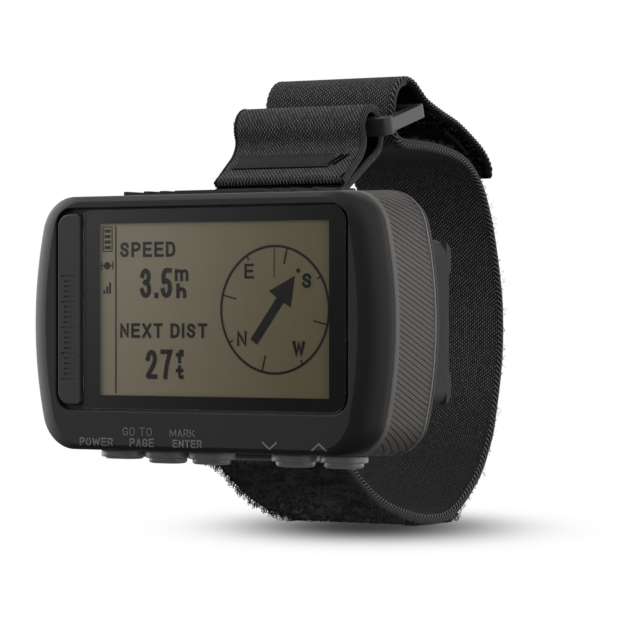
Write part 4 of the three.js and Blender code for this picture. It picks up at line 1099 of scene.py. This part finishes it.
class Path:
    """A smooth curve through points in Y and Z, walked in even steps, in millimetres."""

    def __init__(self, route, step):
        route = np.array(route, float)
        padded = np.concatenate([[2 * route[0] - route[1]], route, [2 * route[-1] - route[-2]]])
        walked = [self.stretch(*four) for four in zip(padded, padded[1:], padded[2:], padded[3:])]
        dense = np.concatenate([*walked, padded[-2:-1]])
        far = np.concatenate([[0], np.cumsum(np.linalg.norm(np.diff(dense, axis=0), axis=1))])
        self.s = np.linspace(0, far[-1], int(round(far[-1] / step)) + 1)
        self.points = np.stack([np.interp(self.s, far, dense[:, side]) for side in (0, 1)], axis=1)
        around = np.gradient(self.points, axis=0)
        around /= np.linalg.norm(around, axis=1)[:, None]
        self.normal = np.stack([-around[:, 1], around[:, 0]], axis=1)

    @staticmethod
    def stretch(p0, p1, p2, p3, count=16):
        """One span of a centripetal Catmull-Rom curve."""
        d0, d1, d2 = (math.sqrt(np.linalg.norm(b - a)) for a, b in ((p0, p1), (p1, p2), (p2, p3)))
        t1 = ((p1 - p0) / d0 - (p2 - p0) / (d0 + d1) + (p2 - p1) / d1) * d1
        t2 = ((p2 - p1) / d1 - (p3 - p1) / (d1 + d2) + (p3 - p2) / d2) * d1
        t = np.linspace(0, 1, count, endpoint=False)[:, None]
        return p1 + t1 * t + (3 * (p2 - p1) - 2 * t1 - t2) * t**2 + (2 * (p1 - p2) + t1 + t2) * t**3

    def part(self, start, end):
        """The stretch between two distances."""
        keep = (self.s >= start - 1e-6) & (self.s <= end + 1e-6)
        copy = Path.__new__(Path)
        copy.s, copy.points, copy.normal = self.s[keep], self.points[keep], self.normal[keep]
        return copy

    def near(self, point):
        """The distance along the path that lies closest to a point."""
        return self.s[np.argmin(np.linalg.norm(self.points - np.array(point), axis=1))]

    def at(self, s, x, out):
        """Points in metres: distance along, place across and height off the middle, as arrays."""
        y = np.interp(s, self.s, self.points[:, 0]) + out * np.interp(s, self.s, self.normal[:, 0])
        z = np.interp(s, self.s, self.points[:, 1]) + out * np.interp(s, self.s, self.normal[:, 1])
        return np.stack(np.broadcast_arrays(x, y, np.maximum(z, 0.0)), axis=-1) * MM


STRAP_HALF_W = 12.5
WRIST_THICK, LOOP_THICK = 1.6, 1.2


def strap_section(half_width):
    """The closed section of a strap 1 mm thick, across and through it: flat faces and round edges."""
    half = 0.5
    flat = np.linspace(half - half_width, half_width - half, 26)
    turn = np.radians(np.linspace(-90, 90, 7))[1:-1]
    right = np.stack([half_width - half + half * np.cos(turn), half * np.sin(turn)], axis=1)
    low = np.stack([flat, np.full(len(flat), -half)], axis=1)
    return np.concatenate([low, right, -low, -right])


def add_weave(piece, weave):
    """Stores three numbers at each point, for the fabric materials to read."""
    attribute = piece.data.attributes.new("weave", "FLOAT_VECTOR", "POINT")
    attribute.data.foreach_set("vector", np.asarray(weave, np.float32).ravel())


def rounded_end(far, thickness, hem):
    """Thickness along a strap at distances from its round end; `hem` makes the last 2 mm thicker."""
    swell = hem * np.exp(-(far / 1.6) ** 4)
    half = thickness / 2
    return (thickness + swell) * np.sqrt(np.clip(1 - (1 - np.clip(far / half, 0, 1)) ** 2, 0.05, 1))


def ribbon(name, path, half_width, thickness, face, back):
    """A strap swept along a path, with one material on its face and one on its back and edges."""
    section = strap_section(half_width)
    s = np.broadcast_to(path.s[:, None], (len(path.s), len(section)))
    x = np.broadcast_to(section[:, 0], s.shape)
    out = section[:, 1] * np.broadcast_to(thickness, len(path.s))[:, None]
    piece = new_object(name, path.at(s, x, out).reshape(-1, 3), loft_faces(*s.shape), 50)
    add_weave(piece, np.stack([x, s, out], axis=-1).reshape(-1, 3))
    for material in (face, back):
        piece.data.materials.append(MATERIALS[material])
    side, edge = out.reshape(-1), np.abs(x.reshape(-1))
    for polygon in piece.data.polygons:
        corners = list(polygon.vertices)
        if side[corners].sum() < 0 or edge[corners].min() > half_width - 0.75:
            polygon.material_index = 1
    return piece


def tubes(name, lines, radius, sides=3):
    """Round strands along many lines of points, which are in metres."""
    lines = np.asarray(lines, float)
    many, length, _ = lines.shape
    along = np.gradient(lines, axis=1)
    along /= np.linalg.norm(along, axis=2)[..., None] + 1e-12
    helper = np.broadcast_to(np.array((0.31, 0.52, 0.79)), along.shape)
    side = np.cross(along, helper)
    side /= np.linalg.norm(side, axis=2)[..., None]
    up = np.cross(along, side)
    turn = np.arange(sides) * 2 * math.pi / sides
    ring = (side[:, :, None] * np.cos(turn)[:, None] + up[:, :, None] * np.sin(turn)[:, None]) * radius * MM
    one = loft_faces(length, sides)
    faces = []
    for index in range(many):
        shift = index * length * sides
        faces.extend([[corner + shift for corner in face] for face in one])
    return new_object(name, (lines[:, :, None] + ring).reshape(-1, 3), faces, 80)


def twisted_edge(name, path, x, across_r, out_r, shift, strands, pitch):
    """The overlocked edge of a strap: strands of yarn that wind round it once per `pitch`."""
    s = path.s[:, None]
    turn = np.arange(30) * 2 * math.pi / 30
    way = -1 if x > 0 else 1
    ridge = np.cos(strands * turn[None] + strands * 2 * math.pi * s / pitch * way)
    swell = 1 + 0.2 * ridge
    across = x + across_r * swell * np.cos(turn)[None]
    out = shift + out_r * swell * np.sin(turn)[None]
    points = path.at(np.broadcast_to(s, across.shape), across, out)
    piece = new_object(name, points.reshape(-1, 3), loft_faces(*across.shape), 80)
    add_weave(piece, np.stack([ridge, ridge, ridge], axis=-1).reshape(-1, 3))
    piece.data.materials.append(MATERIALS["binding"])
    return piece


def curls(name, path, count, seed, reach, radius=0.05, edge=0.0):
    """Loops of pile fibre on the outer face. A share of them, `edge`, grows at its two edges."""
    random = np.random.default_rng(seed)
    s = random.uniform(path.s[0], path.s[-1], count)[:, None]
    x = random.uniform(-STRAP_HALF_W + 0.3, STRAP_HALF_W - 0.3, count)[:, None]
    x = np.where(random.random((count, 1)) < edge, np.sign(x) * random.uniform(11.6, 12.6, (count, 1)), x)
    heading = random.uniform(0, 2 * math.pi, count)[:, None]
    span = random.uniform(0.25, 0.8, count)[:, None]
    height = random.uniform(0.15, reach, count)[:, None]
    t = np.linspace(0, 1, 7)[None]
    sway = random.normal(0, 0.18, (count, 1)) * np.sin(2 * math.pi * t)
    run = span * (t - 0.5)
    along = s + run * np.cos(heading) - sway * np.sin(heading)
    across = x + run * np.sin(heading) + sway * np.cos(heading)
    out = 0.05 - WRIST_THICK / 2 - height * np.sin(math.pi * t)
    lines = path.at(np.clip(along, path.s[0], path.s[-1]), across, out)
    return tubes(name, lines, radius)


LIP_END_Y = TOP_BAR[0] + 4.75
LIP_UNDERSIDE = -0.72
# Each edge: radii across and out, shift outwards, strands and pitch.
LOOP_EDGE, LOOP_EDGE_IN = (0.3, 0.6, 0.0, 5, 2.4), 0.2
WRIST_EDGE, WRIST_EDGE_IN = (0.4, 0.42, 0.36, 3, 2.7), 0.3
FINE_STEP = 0.1


def build_front_loop():
    """The webbing loop from its lip, up round the ring, back down and round the top bar."""
    path = Path(LOOP_ROUTE, 0.3)
    thickness = rounded_end(path.s, LOOP_THICK, 0.7)
    loop = ribbon("front_loop_webbing", path, STRAP_HALF_W, thickness, "webbing", "dark_thread_and_shade")
    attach(loop, "root")
    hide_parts("front_loop")
    # Painted shade: faces under the lip take the dark thread, standing in for the shadow there.
    for face in loop.data.polygons:
        if face.center.y < LIP_END_Y * MM and face.normal.z < LIP_UNDERSIDE:
            face.material_index = 1
    fine = Path(LOOP_ROUTE, FINE_STEP)
    for side, x in (("left", LOOP_EDGE_IN - STRAP_HALF_W), ("right", STRAP_HALF_W - LOOP_EDGE_IN)):
        edge = twisted_edge("front_loop_edge_" + side, fine, x, *LOOP_EDGE)
        finish_piece(edge, "root", "webbing", "binding")
    build_stitch_patch(path)


PATCH_LEFT, PATCH_RIGHT, PATCH_HALF, PATCH_LEAN = -10.5, 8.0, 1.75, 0.35
PATCH_ROWS, THREAD_R, THREAD_RISE = 96, 0.11, 0.06
TACK_X, TACK_HALF, TACK_LEAN, TACK_R = (8.6, 9.65), 1.4, 0.8, 0.2
SHADOW_LINE_BELOW, SHADOW_LINE_R = 1.9, 0.17
THREAD_SIDES = 6


def build_stitch_patch(path):
    """Close rows of thread, two slanting tacks at their right end, and below them a painted shadow line."""
    leg = path.near(middle_of("stitch_patch")[1:])
    face = LOOP_THICK / 2
    x = np.linspace(PATCH_LEFT, PATCH_RIGHT, PATCH_ROWS)[:, None]
    t = np.linspace(-1, 1, 11)[None]
    out = face + 0.01 + THREAD_RISE * np.cos(t * math.pi / 2) + 0 * x
    rows = path.at(leg + PATCH_HALF * t + 0 * x, x - PATCH_LEAN * t, out)
    threads = tubes("stitch_patch_threads", rows, THREAD_R, THREAD_SIDES)
    finish_piece(threads, "root", "webbing", "thread", ("stitch_patch",))
    bars = [path.at(leg + TACK_HALF * t, middle + TACK_LEAN * t, face + 0.08 + 0 * t)[0]
            for middle in TACK_X]
    # Painted shadow: a dark strand along the lower edge of the patch.
    border = path.at(leg - SHADOW_LINE_BELOW + 0 * x, x, face + 0 * x).reshape(1, -1, 3)
    tacks = joined("stitch_patch_tacks_and_shadow_line", [tubes("bars", bars, TACK_R, THREAD_SIDES),
                                          tubes("border", border, SHADOW_LINE_R, THREAD_SIDES)])
    finish_piece(tacks, "root", "webbing", "dark_thread_and_shade")


CREST = (5.0, 74.5)


def build_wrist_strap():
    """The strap from the lower bar to the crest of its arch, and the tail that bends away there."""
    whole = Path(WRIST_ROUTE + TAIL_ROUTE, 0.45)
    crest = whole.near(CREST)
    main, tail = whole.part(0, crest), whole.part(crest, whole.s[-1])
    main_cloth = ribbon("wrist_strap_cloth", main, STRAP_HALF_W, WRIST_THICK, "strap_knit", "thread")
    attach(main_cloth, "root")
    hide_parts("wrist_strap")
    thickness = rounded_end(tail.s[-1] - tail.s, WRIST_THICK, 1.0)
    tail_cloth = ribbon("strap_tail_cloth", tail, STRAP_HALF_W, thickness, "strap_knit", "dark_thread_and_shade")
    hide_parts("strap_tail")
    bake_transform(tail_cloth)
    fine = Path(WRIST_ROUTE + TAIL_ROUTE, FINE_STEP)
    hem = fine.s[-1] - 0.6
    for side, x in (("left", WRIST_EDGE_IN - STRAP_HALF_W), ("right", STRAP_HALF_W - WRIST_EDGE_IN)):
        edge = twisted_edge("wrist_strap_edge_" + side, fine.part(0, crest), x, *WRIST_EDGE)
        finish_piece(edge, "root", "strap_knit", "binding")
        end = twisted_edge("strap_tail_edge_" + side, fine.part(crest, hem), x, *WRIST_EDGE)
        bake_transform(end)
    build_pile(whole)


BAR_LEFT, LOW_EDGE_END, RING_BELOW, TAIL_CLEAR = (-18.9, 12.55), (22.3, 2.5), (7.0, 64.05), (11.6, 71.4)


def build_pile(whole):
    """Loop pile on the outside of the strap, thicker at its low edges, and under the tail."""
    start = whole.near(BAR_LEFT)
    covered = whole.part(start, whole.near(RING_BELOW))
    low = whole.part(start, whole.near(LOW_EDGE_END))
    tail = whole.part(whole.near(TAIL_CLEAR), whole.s[-1])
    pile = joined("wrist_strap_pile", [
        curls("pile", covered, count=9000, seed=11, reach=0.6),
        curls("edge_pile", low, count=900, seed=12, reach=1.2, radius=0.045, edge=1.0),
        curls("loose_fibres", covered, count=260, seed=14, reach=1.3, radius=0.022, edge=1.0),
    ])
    finish_piece(pile, "root", "strap_knit", "pile")
    under = curls("strap_tail_pile", tail, count=900, seed=13, reach=0.5)
    finish_piece(under, "strap_tail", "strap_knit", "pile")


HOOK_HALF_W, HOOK_THICK = 11.0, 0.8


def build_hook_tab():
    tab = ribbon("hook_tab_tape", Path(HOOK_ROUTE, 0.4), HOOK_HALF_W, HOOK_THICK, "hook_tape", "hook_tape")
    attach(tab, "strap_tail")
    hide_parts("hook_tab")


# ---- Floor --------------------------------------------------------------------------------------
FLOOR_R, FLOOR_SIDES = 0.6, 60
POOL_CENTRE = 0.0072
POOL_HALF_ACROSS, POOL_HALF_ALONG = 0.0205, 0.0344


def add_floor():
    """A clear floor with a painted soft shadow pool under the object, longer along the camera's view."""
    angles = np.arange(FLOOR_SIDES) * 2 * math.pi / FLOOR_SIDES
    points = [(0, 0, 0)] + [(FLOOR_R * math.cos(angle), FLOOR_R * math.sin(angle), 0) for angle in angles]
    faces = [(0, 1 + i, 1 + (i + 1) % FLOOR_SIDES) for i in range(FLOOR_SIDES)]
    floor = new_object("studio_floor", points, faces)
    s = Surface("painted_floor_shadow")
    grain = s.noise(s.place(), 30)
    # Painted shadow: a soft dark pool under the object that fades out; the rest of the floor is clear.
    across = s.over(s.less(s.dot(s.place(), CAMERA_RIGHT), POOL_CENTRE), POOL_HALF_ACROSS)
    along = s.over(s.dot(s.place(), CAMERA_AIM), POOL_HALF_ALONG)
    away = s.plus(s.power(across, 2), s.power(along, 2))
    painted_shadow = s.power(0.5, s.power(away, 1.5))
    s.set(Base_Color=s.mix(grain, (0.010, 0.010, 0.010), (0.012, 0.012, 0.012)), Roughness=0.9)
    s.set(Specular_IOR_Level=0.0, Alpha=s.times(painted_shadow, s.ramp(grain, 0, 1, 0.94, 0.97)))
    floor.data.materials.append(s.material)
    floor.visible_diffuse = False
    floor.visible_glossy = False
    floor.visible_transmission = False
    floor.visible_shadow = False


# ---- Build everything ---------------------------------------------------------------------------
# CAD pieces shown as they are, by material.
INNER_NODES = {
    "lcd": ["lcd_panel"],
    "light_guide": ["backlight_guide"],
    "steel": ["lcd_tray", "shield_can", "altimeter_sensor", "usb_port", "battery_plate_left",
              "battery_plate_right", "battery_spring_1", "battery_spring_2",
              *[f"key_switch_{index}" for index in range(1, 6)]],
    "rubber": ["case_gasket", "battery_seal"],
    "circuit_board": ["main_board", "key_board"],
    "ceramic": ["gps_antenna"],
    "bezel": ["beeper"],
}
# CAD pieces that get rounded edges: node, slot and width of the edge. Screws are a darker steel.
REFINED = [
    ("top_grip_pad", "rubber", 0.12), ("rear_housing", "housing", 0.25), ("battery_cover", "housing", 0.2),
    ("cover_latch", "satin_plastic", 0.12), ("usb_cap", "rubber", 0.15),
    ("buckle_ring", "satin_plastic", 0.5), ("strap_bar_top", "steel", 0.1),
    ("strap_bar_bottom", "steel", 0.1), ("battery_1", "cell_wrap", 0.2), ("battery_2", "cell_wrap", 0.2),
    *[(f"case_screw_{index}", "steel", 0.06, "dark_steel") for index in range(1, 5)],
]


def build_all():
    add_camera()
    add_sky()
    add_floor()
    bezel = build_bezel()
    build_nameplate()
    build_lens()
    build_icons()
    build_readings()
    build_compass()
    build_labels(bezel)
    build_band()
    build_keys()
    for row in REFINED:
        refined(*row)
    for material, nodes in INNER_NODES.items():
        for node in nodes:
            NODES[node].data.materials.clear()
            NODES[node].data.materials.append(MATERIALS[material])
    build_front_loop()
    build_wrist_strap()
    build_hook_tab()


build_all()
